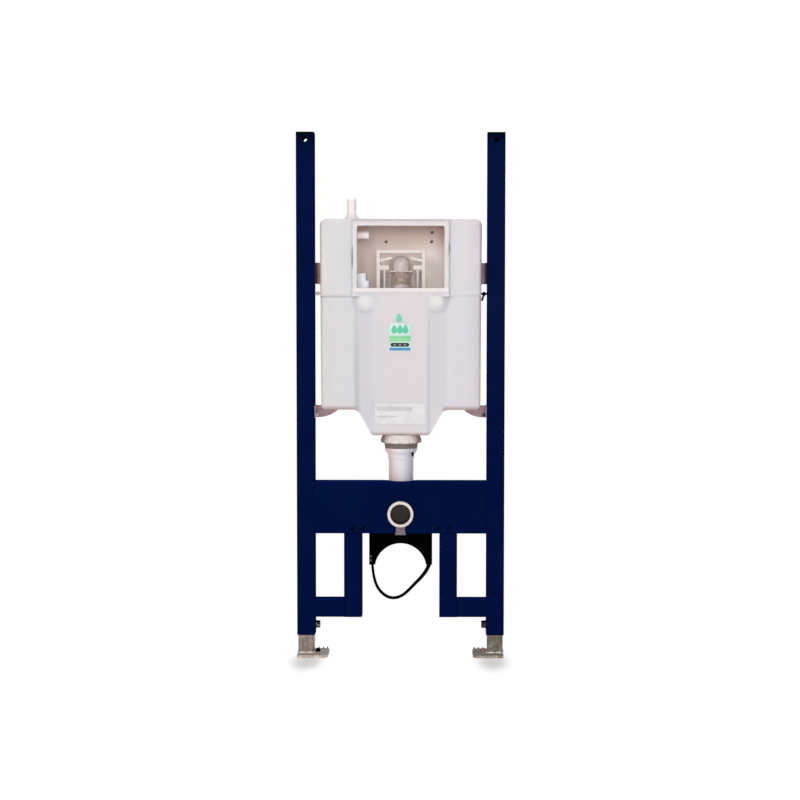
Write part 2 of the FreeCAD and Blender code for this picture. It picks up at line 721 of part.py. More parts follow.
def side_lug():
    z = TANK_TOP - LUG_DROP
    depth = TUBE / 2 + LUG
    tank_x = tank_half_at(z - LUG) + SEAT_FIT
    middle = (tank_x + INNER_X) / 2
    ball = LUG / 2
    stem = LUG / 4
    reach = math.sqrt(ball ** 2 - stem ** 2)
    outline = [
        (middle + reach, stem),
        (INNER_X, stem),
        (INNER_X, 0),
        (tank_x, 0),
        (tank_x, stem),
        (middle - reach, stem),
    ]
    straight = Part.makePolygon([at(x, depth, z + radius) for x, radius in outline])
    crown = Part.Arc(at(middle - reach, depth, z + stem), at(middle, depth, z + ball),
                     at(middle + reach, depth, z + stem)).toShape()
    profile = Part.Face(Part.Wire(straight.Edges + [crown]))
    return profile.revolve(at(0, depth, z), along_x(1), 360)


def support_bracket():
    inner_x = INNER_X - SUPPORT_REACH
    shelf_front = LOWER_DEPTH + SUPPORT_SHEET
    plate_x = INNER_X - SUPPORT_SHEET
    low = WING_BOTTOM - SUPPORT_FALL
    shelf = block(inner_x, INNER_X, shelf_front, shelf_front + SUPPORT_DEPTH,
                  WING_BOTTOM - SUPPORT_SHEET, WING_BOTTOM)
    plate = block(plate_x, INNER_X, SUPPORT_SHEET, TUBE - SUPPORT_SHEET, low, WING_BOTTOM + SUPPORT_RISE)
    place = on_front(shelf_front)
    flat_x = INNER_X - SUPPORT_FLAT
    tip = WING_BOTTOM - SUPPORT_SHEET
    run = flat_x - inner_x
    rise = tip - low
    bow = (run ** 2 + rise ** 2) / (2 * rise)
    turn = math.atan2(run, bow - rise) / 2
    middle = place(flat_x - bow * math.sin(turn), low + bow * (1 - math.cos(turn)))
    corners = [(flat_x, low), (INNER_X, low), (INNER_X, WING_BOTTOM), (inner_x, WING_BOTTOM), (inner_x, tip)]
    straight = Part.makePolygon([place(*corner) for corner in corners])
    curve = Part.Arc(place(inner_x, tip), middle, place(flat_x, low)).toShape()
    gusset = prism(Part.Wire(straight.Edges + [curve]), along_y(SUPPORT_SHEET))
    ear = block(tank_half_at(WING_BOTTOM) + SEAT_FIT, INNER_X, shelf_front, shelf_front + SUPPORT_SHEET,
                WING_BOTTOM, WING_BOTTOM + SUPPORT_RISE)
    return shelf.fuse(plate).fuse(gusset).fuse(ear).removeSplitter()


def inlet_spigot():
    profile = [(INLET_BORE / 2, TANK_TOP), (INLET_BASE / 2, TANK_TOP)]
    spread = (INLET_BASE - INLET_THREAD) / 2
    rise = INLET_BASE_HEIGHT - INLET_RIM
    for step in range(INLET_FLARE_STEPS + 1):
        turn = math.radians(90 * step / INLET_FLARE_STEPS)
        radius = INLET_BASE / 2 - spread * math.sin(turn)
        profile.append((radius, TANK_TOP + INLET_BASE_HEIGHT - rise * math.cos(turn)))
    profile.append((INLET_THREAD / 2, TANK_TOP + INLET_HEIGHT))
    profile.append((INLET_BORE / 2, TANK_TOP + INLET_HEIGHT))
    return turned(profile, INLET_X, INLET_DEPTH)


def stop_valve():
    ceiling = TANK_TOP - TANK_WALL
    body = rod_z(VALVE_BODY / 2, INLET_X, INLET_DEPTH, ceiling - VALVE_LENGTH, ceiling)
    z = TANK_TOP - KNOB_DROP
    knob = rod_x(KNOB / 2 - KNOB_GROOVE, INLET_X, INLET_X + KNOB_REACH, INLET_DEPTH, z)
    pitch = (KNOB_REACH - VALVE_BODY / 2) / KNOB_RIBS
    for index in range(KNOB_RIBS):
        end = INLET_X + KNOB_REACH - index * pitch
        knob = knob.fuse(rod_x(KNOB / 2, end - pitch / 2, end, INLET_DEPTH, z))
    return body.fuse(knob).removeSplitter()


def fill_valve():
    top = TANK_TOP - TANK_WALL - VALVE_LENGTH
    body = rod_z(FILL_BODY / 2, INLET_X, INLET_DEPTH, top - FILL_LENGTH, top)
    nut = rod_z(FILL_NUT / 2, INLET_X, INLET_DEPTH, top - FILL_NUT_HEIGHT, top)
    return body.fuse(nut).removeSplitter()


def fill_float():
    top = TANK_TOP - FLOAT_DROP
    left = INLET_X - FLOAT_HALF_DEPTH
    front = INLET_DEPTH - FLOAT_HALF_DEPTH
    back = INLET_DEPTH + FLOAT_HALF_DEPTH
    cups = []
    middle = top - FLOAT_STEP
    for setback, low, high in ((0, top - FLOAT_HEIGHT, middle), (FLOAT_SETBACK, middle, top)):
        right = -BRIDGE_HALF - FLOAT_CLEAR - setback
        corners = [
            (left, front, FLOAT_ROUND),
            (right, front, FLOAT_ROUND),
            (right, back, FLOAT_ROUND),
            (left, back, FLOAT_ROUND),
        ]
        cups.append(prism(rounded_outline(corners, on_plan(low)), along_z(high - low)))
    cup = cups[0].fuse(cups[1])
    rim = [edge for edge in cup.Edges if edge.BoundBox.ZMin > top - 1e-6]
    cup = cup.makeFillet(FLOAT_ROUND / 2, rim)
    return cup.cut(rod_z(FILL_BODY / 2 + SEAT_FIT, INLET_X, INLET_DEPTH, 0, FRAME_HEIGHT))


def flush_valve():
    floor = FUNNEL_END + TANK_WALL
    base_top = floor + TOWER_BASE_HEIGHT
    cage_top = base_top + TOWER_CAGE_HEIGHT
    top = TANK_TOP - TOWER_TOP_DROP
    plate_bottom = top - HEAD_HEIGHT - HEAD_PLATE
    neck_bottom = plate_bottom - HEAD_NECK_HEIGHT
    tower = turned([
        (0, floor),
        (TOWER_BASE / 2, floor),
        (TOWER_BASE / 2, base_top),
        (TOWER_CAGE / 2, base_top),
        (TOWER_CAGE / 2, cage_top),
        (TOWER / 2, cage_top + TOWER_BASE_HEIGHT),
        (TOWER / 2, neck_bottom),
        (HEAD_NECK / 2, neck_bottom),
        (HEAD_NECK / 2, plate_bottom),
        (TOWER / 2, plate_bottom),
        (TOWER / 2, top - TOWER / 2),
        (0, top - TOWER / 2),
    ], 0, PIPE_DEPTH)
    tower = tower.fuse(block(-HEAD_PLATE_HALF, HEAD_PLATE_HALF, BRIDGE_FRONT, BRIDGE_BACK,
                             plate_bottom, plate_bottom + HEAD_PLATE))
    dome = Part.makeSphere(TOWER / 2, at(0, PIPE_DEPTH, top - TOWER / 2))
    half = CAGE_SLOT / 2
    reach = TOWER_CAGE
    slots = block(-reach, reach, PIPE_DEPTH - half, PIPE_DEPTH + half, base_top, cage_top)
    slots = slots.fuse(block(-half, half, PIPE_DEPTH - reach, PIPE_DEPTH + reach, base_top, cage_top))
    slots = slots.cut(rod_z(CAGE_STEM / 2, 0, PIPE_DEPTH, base_top, cage_top))
    return tower.fuse(dome).cut(slots).removeSplitter()


def actuator_bridge():
    top = TANK_TOP - BRIDGE_DROP
    bottom = top - BRIDGE_HEIGHT
    bridge = block(-BRIDGE_HALF, BRIDGE_HALF, BRIDGE_FRONT, BRIDGE_BACK, top - BRIDGE_BAR, top)
    for x in (-BRIDGE_HALF, BRIDGE_HALF - BRIDGE_LEG):
        bridge = bridge.fuse(block(x, x + BRIDGE_LEG, BRIDGE_FRONT, BRIDGE_BACK, bottom, top))
    shelf = block(-BRIDGE_HALF, BRIDGE_HALF, BRIDGE_FRONT, BRIDGE_BACK, bottom, bottom + BRIDGE_BAR)
    shelf = shelf.cut(rod_z(TOWER / 2 + SEAT_FIT, 0, PIPE_DEPTH, bottom, top))
    bridge = bridge.fuse(shelf)
    pad_top = top - PAD_DROP
    pad_end = BRIDGE_HALF - BRIDGE_LEG
    rod_depth = BRIDGE_FRONT + PAD_DEPTH / 2
    pad = block(pad_end - PAD_LENGTH, pad_end, BRIDGE_FRONT, BRIDGE_FRONT + PAD_DEPTH,
                pad_top - PAD_HEIGHT, pad_top)
    rod = rod_z(LIFT_ROD / 2, pad_end - PAD_LENGTH / 2, rod_depth, bottom + BRIDGE_BAR, pad_top - PAD_HEIGHT)
    lifter = pad.fuse(rod)
    return bridge.fuse(lifter).fuse(mirrored(lifter)).removeSplitter()


def lift_arm():
    high = TANK_TOP - BRIDGE_DROP - 2 * BRIDGE_BAR
    start = TOWER / 2
    end = BRIDGE_HALF - BRIDGE_LEG
    corners = [
        (start, high, 0),
        (end, high - ARM_FALL, 0),
        (end, high - ARM_FALL - ARM_HEIGHT, 0),
        (start, high - ARM_HEIGHT, 0),
    ]
    return prism(rounded_outline(corners, on_front(BRIDGE_FRONT)), along_y(ARM_DEPTH))


paired = {
    "upright": upright,
    "top_cap": top_cap,
    "foot_leg": foot_leg,
    "foot_plate": foot_plate,
    "clamp_screw": clamp_screw,
    "side_clip": side_clip,
    "side_lug": side_lug,
    "support_bracket": support_bracket,
    "lift_arm": lift_arm,
}
single = {
    "cross_panel": cross_panel,
    "cistern_tank": cistern_tank,
    "access_collar": access_collar,
    "outlet_nut": outlet_nut,
    "outlet_seal": outlet_seal,
    "flush_pipe": flush_pipe,
    "flush_elbow": flush_elbow,
    "outlet_ring": outlet_ring,
    "outlet_saddle": outlet_saddle,
    "drain_bracket": drain_bracket,
    "waste_strap": waste_strap,
    "inlet_spigot": inlet_spigot,
    "stop_valve": stop_valve,
    "fill_valve": fill_valve,
    "fill_float": fill_float,
    "flush_valve": flush_valve,
    "actuator_bridge": actuator_bridge,
}

shapes = {name: make() for name, make in single.items()}
for name, make in paired.items():
    right = make()
    shapes[name + "_right"] = right
    shapes[name + "_left"] = mirrored(right)
post = upright_tube(POST_X, TUBE, TUBE_WALL, RAIL_BOTTOM, PANEL_BOTTOM)
rail = cross_tube(POST_X + TUBE / 2, INNER_X, RAIL_BOTTOM)
shapes["post_right"] = post
shapes["post_left"] = mirrored(post)
shapes["rail_right"] = rail
shapes["rail_left"] = mirrored(rail)
for side, sign in (("left", -1), ("right", 1)):
    for place, spacing in zip(("inner", "outer"), STUD_SPACINGS):
        shapes["stud_bush_" + side + "_" + place] = stud_bush(sign * spacing / 2)

os.makedirs("parts", exist_ok=True)
for name, shape in shapes.items():
    shape.exportStep("parts/" + name + ".step")
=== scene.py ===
import json
import math

import bmesh
import bpy
from mathutils import Matrix, Vector


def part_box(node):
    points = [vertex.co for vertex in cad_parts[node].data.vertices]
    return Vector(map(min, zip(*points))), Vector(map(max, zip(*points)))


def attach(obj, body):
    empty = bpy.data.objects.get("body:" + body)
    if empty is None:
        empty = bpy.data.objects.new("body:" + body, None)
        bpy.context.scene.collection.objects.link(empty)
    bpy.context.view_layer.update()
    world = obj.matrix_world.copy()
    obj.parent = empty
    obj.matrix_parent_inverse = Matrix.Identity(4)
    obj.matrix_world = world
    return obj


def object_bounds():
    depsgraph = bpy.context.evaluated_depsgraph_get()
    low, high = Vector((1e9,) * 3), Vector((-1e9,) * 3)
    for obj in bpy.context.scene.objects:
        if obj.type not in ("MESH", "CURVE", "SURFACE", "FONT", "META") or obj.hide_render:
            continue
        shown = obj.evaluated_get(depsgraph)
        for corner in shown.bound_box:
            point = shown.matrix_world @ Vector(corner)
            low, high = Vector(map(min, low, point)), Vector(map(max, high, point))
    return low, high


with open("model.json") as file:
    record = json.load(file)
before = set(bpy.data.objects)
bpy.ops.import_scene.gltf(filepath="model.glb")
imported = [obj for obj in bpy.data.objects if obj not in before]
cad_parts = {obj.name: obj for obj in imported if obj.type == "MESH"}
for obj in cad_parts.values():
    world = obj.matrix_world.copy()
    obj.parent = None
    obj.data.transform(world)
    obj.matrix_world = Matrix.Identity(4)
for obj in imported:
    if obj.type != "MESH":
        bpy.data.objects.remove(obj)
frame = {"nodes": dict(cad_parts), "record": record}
cad_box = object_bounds()
nodes = frame["nodes"]

# Places in metres, in the frame of the solids: the front faces -Y and the floor is at z = 0.
UPRIGHT_LOW, UPRIGHT_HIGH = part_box("upright_right")
TANK_LOW, TANK_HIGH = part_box("cistern_tank")
COLLAR_LOW, COLLAR_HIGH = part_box("access_collar")
FRONT_Y = UPRIGHT_LOW.y
INNER_X = UPRIGHT_LOW.x
FRAME_TOP = cad_box[1][2]
SIDES = {"left": -1, "right": 1}
UP = Vector((0, 0, 1))
DOWN = Vector((0, 0, -1))
TO_FRONT = Vector((0, -1, 0))

# Front of the tank, with heights measured from its top
TANK_WALL = 0.004
BULGE_Y = TANK_LOW.y
BOSS_X = 0.086
BOSS_Z = TANK_HIGH.z - 0.195
PAD_WIDE = 0.034
PAD_HIGH = 0.029
STEP_Z = TANK_HIGH.z - 0.1862
CREASE_LOW = TANK_HIGH.z - 0.333
CREASE_HIGH = TANK_HIGH.z - 0.193
STICKER_LOW = TANK_HIGH.z - 0.3155
LABEL_LOW = TANK_HIGH.z - 0.492
WING_BOTTOM = TANK_HIGH.z - 0.458
WING_INNER = 0.098
FUNNEL_END = WING_BOTTOM - 0.061

# Camera, as fitted to the edges of the uprights in the photograph
CAMERA_PLACE = (0.11, FRONT_Y - 3.8, 0.8184)
CAMERA_AIM_Z = 0.62
PICTURE_MIDDLE_X = -0.0013
CAMERA_LENS = 71.33
CAMERA_ROLL = 0.105
SENSOR = 36.0

# Strength of the light from all round, and the place, width and power of each lamp
AMBIENT = 0.47
LAMPS = {
    "key": ((-1.3, -4.2, 2.2), 2.2, 63),
    "fill": ((0.5, -4.3, 1.2), 1.2, 46),
}
LAMPS_AIM = (0, 0, 0.6)

# Painted soft shadow on the floor in front of each foot plate
SHADE_PLACE = (0.221, FRONT_Y - 0.065)
SHADE_HALF = (0.050, 0.135)
FLOOR_HALF = 20.0

ROUND_STEPS = 48
SMALL_STEPS = 24
SMOOTH_ANGLE = math.radians(35)
MERGE = 1e-6


def set_inputs(node, **values):
    """Input values of a node by name, with _ for a space."""
    for key, value in values.items():
        node.inputs[key.replace("_", " ")].default_value = value


def add_node(tree, kind, **values):
    """Node of the given kind with its input values."""
    node = tree.nodes.new(kind)
    set_inputs(node, **values)
    return node


def new_material(name):
    """Node material with a principled shader; returns the material, its tree and the shader."""
    material = bpy.data.materials.new(name)
    material.use_nodes = True
    tree = material.node_tree
    return material, tree, tree.nodes["Principled BSDF"]


def srgb(red, green, blue):
    """Linear colour from 0..255 screen values."""
    def linear(value):
        value = value / 255
        return value / 12.92 if value <= 0.04045 else ((value + 0.055) / 1.055) ** 2.4
    return (linear(red), linear(green), linear(blue))


def place_of(tree):
    """Position on the object, in metres."""
    return add_node(tree, "ShaderNodeTexCoord").outputs["Object"]


def split(tree, vector):
    """The X, Y and Z outputs of a vector."""
    axes = add_node(tree, "ShaderNodeSeparateXYZ")
    tree.links.new(vector, axes.inputs["Vector"])
    return axes.outputs


def parts_of_place(tree):
    """Position on the object as X, Y and Z."""
    return split(tree, place_of(tree))


def facing_of(tree):
    """Direction in which the surface faces, as X, Y and Z."""
    return split(tree, add_node(tree, "ShaderNodeTexCoord").outputs["Normal"])


def aside_of(tree):
    """Distance from the middle plane, in metres."""
    node = add_node(tree, "ShaderNodeMath")
    node.operation = "ABSOLUTE"
    tree.links.new(parts_of_place(tree)["X"], node.inputs[0])
    return node.outputs["Value"]


def noise(tree, scale, detail=4.0, roughness=0.6, stretch=(1, 1, 1)):
    """Cloudy value of 0..1 over the object."""
    mapping = add_node(tree, "ShaderNodeMapping", Scale=stretch)
    tree.links.new(place_of(tree), mapping.inputs["Vector"])
    texture = add_node(tree, "ShaderNodeTexNoise", Scale=scale, Detail=detail, Roughness=roughness)
    tree.links.new(mapping.outputs["Vector"], texture.inputs["Vector"])
    return texture.outputs["Fac"]


def ramp(tree, source, stops):
    """Colour that runs through the stops, each a position and a linear colour."""
    node = add_node(tree, "ShaderNodeValToRGB")
    elements = node.color_ramp.elements
    while len(elements) < len(stops):
        elements.new(0.5)
    for element, (position, colour) in zip(elements, stops):
        element.position = position
        element.color = (*colour, 1)
    tree.links.new(source, node.inputs["Fac"])
    return node.outputs["Color"]


def two_tone(tree, source, dark, light, low=0.3, high=0.7):
    """Colour between two tones, given as screen values."""
    return ramp(tree, source, [(low, srgb(*dark)), (high, srgb(*light))])


def spread(tree, source, low, high, start=0.0, end=1.0):
    """Maps a value from start..end to low..high."""
    node = add_node(tree, "ShaderNodeMapRange", From_Min=start, From_Max=end, To_Min=low, To_Max=high)
    tree.links.new(source, node.inputs["Value"])
    return node.outputs["Result"]


def product(tree, first, *others):
    """Values multiplied by each other."""
    for other in others:
        node = add_node(tree, "ShaderNodeMath")
        node.operation = "MULTIPLY"
        tree.links.new(first, node.inputs[0])
        tree.links.new(other, node.inputs[1])
        first = node.outputs["Value"]
    return first


def peak(tree, source, middle, width):
    """1 at the middle value, falling to 0 at the width on both sides."""
    rise = spread(tree, source, 0, 1, middle - width, middle)
    return product(tree, rise, spread(tree, source, 1, 0, middle, middle + width))


def mixed(tree, factor, first, second):
    """First colour where the factor is 0, second one where it is 1."""
    node = add_node(tree, "ShaderNodeMix")
    node.data_type = "RGBA"
    tree.links.new(factor, node.inputs["Factor"])
    tree.links.new(first, node.inputs[6])
    tree.links.new(second, node.inputs[7])
    return node.outputs[2]


def length_of(tree, vector):
    """Length of a vector."""
    node = add_node(tree, "ShaderNodeVectorMath")
    node.operation = "LENGTH"
    tree.links.new(vector, node.inputs[0])
    return node.outputs["Value"]


def spot_distance(tree, along, middle, half):
    """Distance from a spot that lies on both sides of the middle plane, 1 at the edge of its ellipse."""
    spot = add_node(tree, "ShaderNodeCombineXYZ")
    for key, source, centre, reach in zip("XY", (aside_of(tree), along), middle, half):
        tree.links.new(spread(tree, source, -1, 1, centre - reach, centre + reach), spot.inputs[key])
    return length_of(tree, spot.outputs["Vector"])


def bumped(tree, shader, source, strength, depth):
    """Surface relief from a value."""
    bump = add_node(tree, "ShaderNodeBump", Strength=strength, Distance=depth)
    tree.links.new(source, bump.inputs["Height"])
    tree.links.new(bump.outputs["Normal"], shader.inputs["Normal"])


def dress(tree, shader, colour, mottle, rough, specular, grain=900.0, strength=0.3, depth=0.0001):
    """Links a colour, a roughness that follows the mottle and a fine relief to the shader."""
    tree.links.new(colour, shader.inputs["Base Color"])
    tree.links.new(spread(tree, mottle, *rough), shader.inputs["Roughness"])
    bumped(tree, shader, noise(tree, grain), strength, depth)
    set_inputs(shader, Specular_IOR_Level=specular)


def colour_under(material):
    """Tree, shader and present colour of a finished material, for a layer over it."""
    tree = material.node_tree
    shader = tree.nodes["Principled BSDF"]
    return tree, shader, shader.inputs["Base Color"].links[0].from_socket


def speckled(name, dark, light, scale, rough, specular, grain=900.0, depth=0.0001, coat=0.0):
    """Surface with slow changes between two tones, changing roughness and a fine relief."""
    material, tree, shader = new_material(name)
    slow = noise(tree, scale)
    dress(tree, shader, two_tone(tree, slow, dark, light), slow, rough, specular, grain, 0.4, depth)
    set_inputs(shader, Coat_Weight=coat, Coat_Roughness=0.3)
    return material


def banded(name, half, stops):
    """Round white plastic whose tint changes from left to right, with painted shade towards its sides in the
    given stops and a faint mottle over it.
    """
    material, tree, shader = new_material(name)
    across = spread(tree, parts_of_place(tree)["X"], 0, 1, -half, half)
    tint = ramp(tree, across, [(position, srgb(*tone)) for position, tone in stops])
    mottle = noise(tree, 40.0)
    cloud = two_tone(tree, mottle, (196, 188, 188), (226, 219, 217))
    colour = mixed(tree, spread(tree, mottle, 0.0, 0.3), tint, cloud)
    dress(tree, shader, colour, mottle, (0.35, 0.5), 0.3)
    return material


def tank_outside(tree, slow, axes, facing):
    """Slow pink to blue-grey changes, with painted shade: brown under the rims and grey in the creases of
    the front, along the step of the left wing and under the bosses.
    """
    across = spread(tree, axes["X"], 0, 1, TANK_LOW.x, TANK_HIGH.x)
    # Pink to blue-grey tint across the width; its darker last stop, at the right edge, is painted shade.
    tint = ramp(tree, across, [
        (0.00, srgb(220, 211, 209)), (0.05, srgb(211, 206, 206)), (0.14, srgb(206, 207, 209)),
        (0.30, srgb(202, 201, 207)), (0.42, srgb(212, 204, 206)), (0.62, srgb(211, 204, 206)),
        (0.78, srgb(211, 207, 213)), (0.92, srgb(210, 203, 212)), (1.00, srgb(200, 193, 201)),
    ])
    cloud = two_tone(tree, slow, (204, 200, 207), (216, 209, 207))
    colour = mixed(tree, spread(tree, slow, 0.15, 0.45), tint, cloud)
    aside = aside_of(tree)
    # Painted shade: brown on faces that look down and along the bottom rims of the wings and the funnel.
    rim = two_tone(tree, slow, (146, 114, 104), (160, 130, 120))
    underside_shade = spread(tree, facing["Z"], 1, 0, -1.0, -0.75)
    wing_rim_shade = product(tree, spread(tree, axes["Z"], 0.9, 0, WING_BOTTOM, WING_BOTTOM + 0.011),
                       spread(tree, aside, 0, 1, WING_INNER, WING_INNER + 0.010))
    funnel_rim_shade = spread(tree, axes["Z"], 0.8, 0, FUNNEL_END, FUNNEL_END + 0.010)
    for edge in (underside_shade, wing_rim_shade, funnel_rim_shade):
        colour = mixed(tree, edge, colour, rim)
    # Painted shade: grey lines in the two creases of the front, along the step of the left wing and under
    # each boss.
    shade_lines = []
    for middle, width, depth in ((-0.106, 0.011, 0.7), (0.067, 0.006, 0.5)):
        fade = spread(tree, axes["Z"], depth, 0, CREASE_LOW, CREASE_HIGH)
        shade_lines.append(product(tree, peak(tree, axes["X"], middle, width), fade))
    on_left_wing = spread(tree, axes["X"], 0.9, 0, -0.124, -0.118)
    shade_lines.append(product(tree, peak(tree, axes["Z"], STEP_Z, 0.0035), on_left_wing))
    shade_lines.append(product(tree, peak(tree, axes["Z"], BOSS_Z - 0.023, 0.010),
                         peak(tree, aside, BOSS_X + 0.002, 0.024)))
    crease_shade = two_tone(tree, slow, (172, 172, 182), (182, 180, 188))
    on_front = spread(tree, axes["Y"], 1, 0, FRONT_Y + 0.024, FRONT_Y + 0.034)
    for line in shade_lines:
        colour = mixed(tree, product(tree, line, on_front), colour, crease_shade)
    return colour


def tank_inside_light_and_shade(tree, slow, axes):
    """Inside of the shell in warm tones with painted light and shade: lighter towards the bottom, darker at
    the top and at the left.
    """
    # Painted shade: darker tones at the top and at the left; painted light: a lighter, warmer tone towards
    # the bottom.
    shaded_top = two_tone(tree, slow, (206, 189, 181), (216, 201, 194))
    lower = two_tone(tree, slow, (243, 228, 222), (250, 237, 231))
    shaded = two_tone(tree, slow, (200, 187, 185), (208, 196, 194))
    height = spread(tree, axes["Z"], 0, 1, COLLAR_LOW.z + 0.09, COLLAR_HIGH.z - 0.01)
    left = spread(tree, axes["X"], 0.45, 0, -0.100, 0.040)
    return mixed(tree, left, mixed(tree, height, lower, shaded_top), shaded)


def inside_mask(tree, axes, facing):
    """1 on the inner faces of the shell that the opening shows, 0 outside."""
    half_wall = TANK_WALL / 2
    soft = TANK_WALL / 4
    side = TANK_HIGH.x - TANK_WALL
    back = TANK_HIGH.y - half_wall
    top = TANK_HIGH.z - half_wall
    return product(
        tree,
        spread(tree, axes["Y"], 0, 1, COLLAR_LOW.y + 0.02, COLLAR_LOW.y + 0.03),
        spread(tree, axes["Y"], 1, 0, back - soft, back),
        spread(tree, axes["Z"], 1, 0, top - soft, top),
        spread(tree, axes["Z"], 0, 1, COLLAR_LOW.z - 0.03, COLLAR_LOW.z),
        spread(tree, aside_of(tree), 1, 0, side - half_wall, side),
        spread(tree, facing["Y"], 1, 0, 0.15, 0.35),
    )


def tank_material():
    """Blow-moulded plastic, cool outside and warm inside the shell, with painted light and shade on both."""
    material, tree, shader = new_material("tank_plastic")
    slow = noise(tree, 5.0, detail=2.0, stretch=(1, 1, 0.4))
    axes = parts_of_place(tree)
    facing = facing_of(tree)
    outside = tank_outside(tree, slow, axes, facing)
    # Painted light and shade for the inner faces that the opening shows.
    inside = tank_inside_light_and_shade(tree, slow, axes)
    colour = mixed(tree, inside_mask(tree, axes, facing), outside, inside)
    dress(tree, shader, colour, slow, (0.42, 0.55), 0.25, grain=260.0, strength=0.25, depth=0.0004)
    set_inputs(shader, Subsurface_Weight=1.0, Subsurface_Radius=(1.0, 0.93, 0.9), Subsurface_Scale=0.008)
    return material


def collar_material():
    """The tank's plastic with a bluish left flange and a cream right one, and painted light that makes the
    sill and the faces that look up pale.
    """
    material, tree, shader = new_material("collar_plastic")
    mottle = noise(tree, 30.0)
    axes = parts_of_place(tree)
    cream = two_tone(tree, mottle, (206, 196, 190), (212, 203, 197))
    bluish = two_tone(tree, mottle, (198, 196, 198), (206, 204, 206))
    pale = two_tone(tree, mottle, (212, 204, 203), (222, 215, 214))
    right = spread(tree, axes["X"], 0, 1, COLLAR_HIGH.x - 0.015, COLLAR_HIGH.x - 0.011)
    left = spread(tree, axes["X"], 1, 0, COLLAR_LOW.x + 0.003, COLLAR_LOW.x + 0.010)
    # Painted light: pale on the faces that look up and on the sill.
    lit_upward = spread(tree, facing_of(tree)["Z"], 0, 1, 0.3, 0.7)
    sill = spread(tree, axes["Z"], 1, 0, COLLAR_LOW.z + 0.009, COLLAR_LOW.z + 0.012)
    colour = two_tone(tree, mottle, (202, 197, 197), (210, 205, 204))
    for share, tone in ((right, cream), (left, bluish), (lit_upward, pale), (sill, pale)):
        colour = mixed(tree, share, colour, tone)
    dress(tree, shader, colour, mottle, (0.4, 0.55), 0.2)
    return material


def zinc_material(name, blotches, streaks, share_range=(0.25, 0.8)):
    """Zinc-plated steel: brownish grey with drawn streaks, spangle blotches and scuffs."""
    material, tree, shader = new_material(name)
    blotch = noise(tree, 70.0, detail=6.0, roughness=0.7)
    streak = noise(tree, 240.0, detail=3.0, stretch=(1, 1, 0.06))
    dull = ramp(tree, blotch, [(place, srgb(*tone)) for place, tone in zip((0.32, 0.5, 0.68), blotches)])
    drawn = two_tone(tree, streak, *streaks, 0.35, 0.65)
    share = spread(tree, noise(tree, 18.0), *share_range, 0.35, 0.65)
    tree.links.new(mixed(tree, share, dull, drawn), shader.inputs["Base Color"])
    tree.links.new(spread(tree, blotch, 0.28, 0.5), shader.inputs["Roughness"])
    bumped(tree, shader, streak, 0.2, 0.0002)
    set_inputs(shader, Metallic=0.7)
    return material


def plate_material(name, blotches, streaks):
    """Zinc of a foot plate, dull on the ribs and darker there as painted shade."""
    material = zinc_material(name, blotches, streaks)
    tree, shader, zinc = colour_under(material)
    grain = noise(tree, 300.0)
    dull = two_tone(tree, grain, (70, 66, 60), (140, 134, 126), 0.35, 0.65)
    # Painted shade: the ribs darker than the plate.
    rib_shade = spread(tree, parts_of_place(tree)["Z"], 0, 0.85, 0.007, 0.010)
    tree.links.new(mixed(tree, rib_shade, zinc, dull), shader.inputs["Base Color"])
    tree.links.new(spread(tree, grain, 0.5, 0.75), shader.inputs["Roughness"])
    return material


def navy_material():
    """Navy powder coat with painted light and shade: lighter on the faces that look up and darker at the top
    of the uprights.
    """
    material = speckled("navy_coat", (0, 11, 50), (2, 16, 57), 8, (0.4, 0.52), 0.0, depth=0.00003, coat=0.01)
    tree, shader, coat = colour_under(material)
    grain = noise(tree, 60.0)
    # Painted light: a lighter navy for the faces that look up.
    painted_top_light = two_tone(tree, grain, (2, 22, 84), (6, 28, 94))
    deep = two_tone(tree, grain, (0, 3, 18), (1, 6, 26))
    coat = mixed(tree, spread(tree, facing_of(tree)["Z"], 0, 1, 0.4, 0.8), coat, painted_top_light)
    # Painted shade: a darker navy towards the top of the uprights.
    top = spread(tree, parts_of_place(tree)["Z"], 0, 0.9, FRAME_TOP - 0.040, FRAME_TOP - 0.010)
    tree.links.new(mixed(tree, top, coat, deep), shader.inputs["Base Color"])
    return material


def pad_material():
    """Plastic of the bosses, pale on their crowns as a painted highlight and fading into the tank's tint at
    their rims.
    """
    material, tree, shader = new_material("pad_plastic")
    mottle = noise(tree, 40.0)
    # Painted light and shade: a pale crown in the middle and a darker rim at the edge of each pad.
    crown = two_tone(tree, mottle, (208, 202, 202), (214, 208, 208))
    rim = two_tone(tree, mottle, (196, 192, 196), (202, 198, 202))
    height = parts_of_place(tree)["Z"]
    distance = spot_distance(tree, height, (BOSS_X, BOSS_Z), (PAD_WIDE, PAD_HIGH))
    colour = mixed(tree, spread(tree, distance, 0, 1, 0.2, 0.85), crown, rim)
    dress(tree, shader, colour, mottle, (0.4, 0.55), 0.2)
    return material


def clip_material():
    """Mauve-brown sheet of the side clips, nearly black beside the uprights as painted shadow."""
    material, tree, shader = new_material("clip_metal")
    mottle = noise(tree, 40.0)
    bare = two_tone(tree, mottle, (168, 134, 138), (190, 156, 160))
    dark = two_tone(tree, mottle, (6, 3, 6), (16, 10, 13))
    # Painted shadow: nearly black where the clip runs beside the upright.
    beside = spread(tree, aside_of(tree), 0, 1, TANK_HIGH.x, INNER_X - 0.002)
    dress(tree, shader, mixed(tree, beside, bare, dark), mottle, (0.4, 0.6), 0.05)
    return material


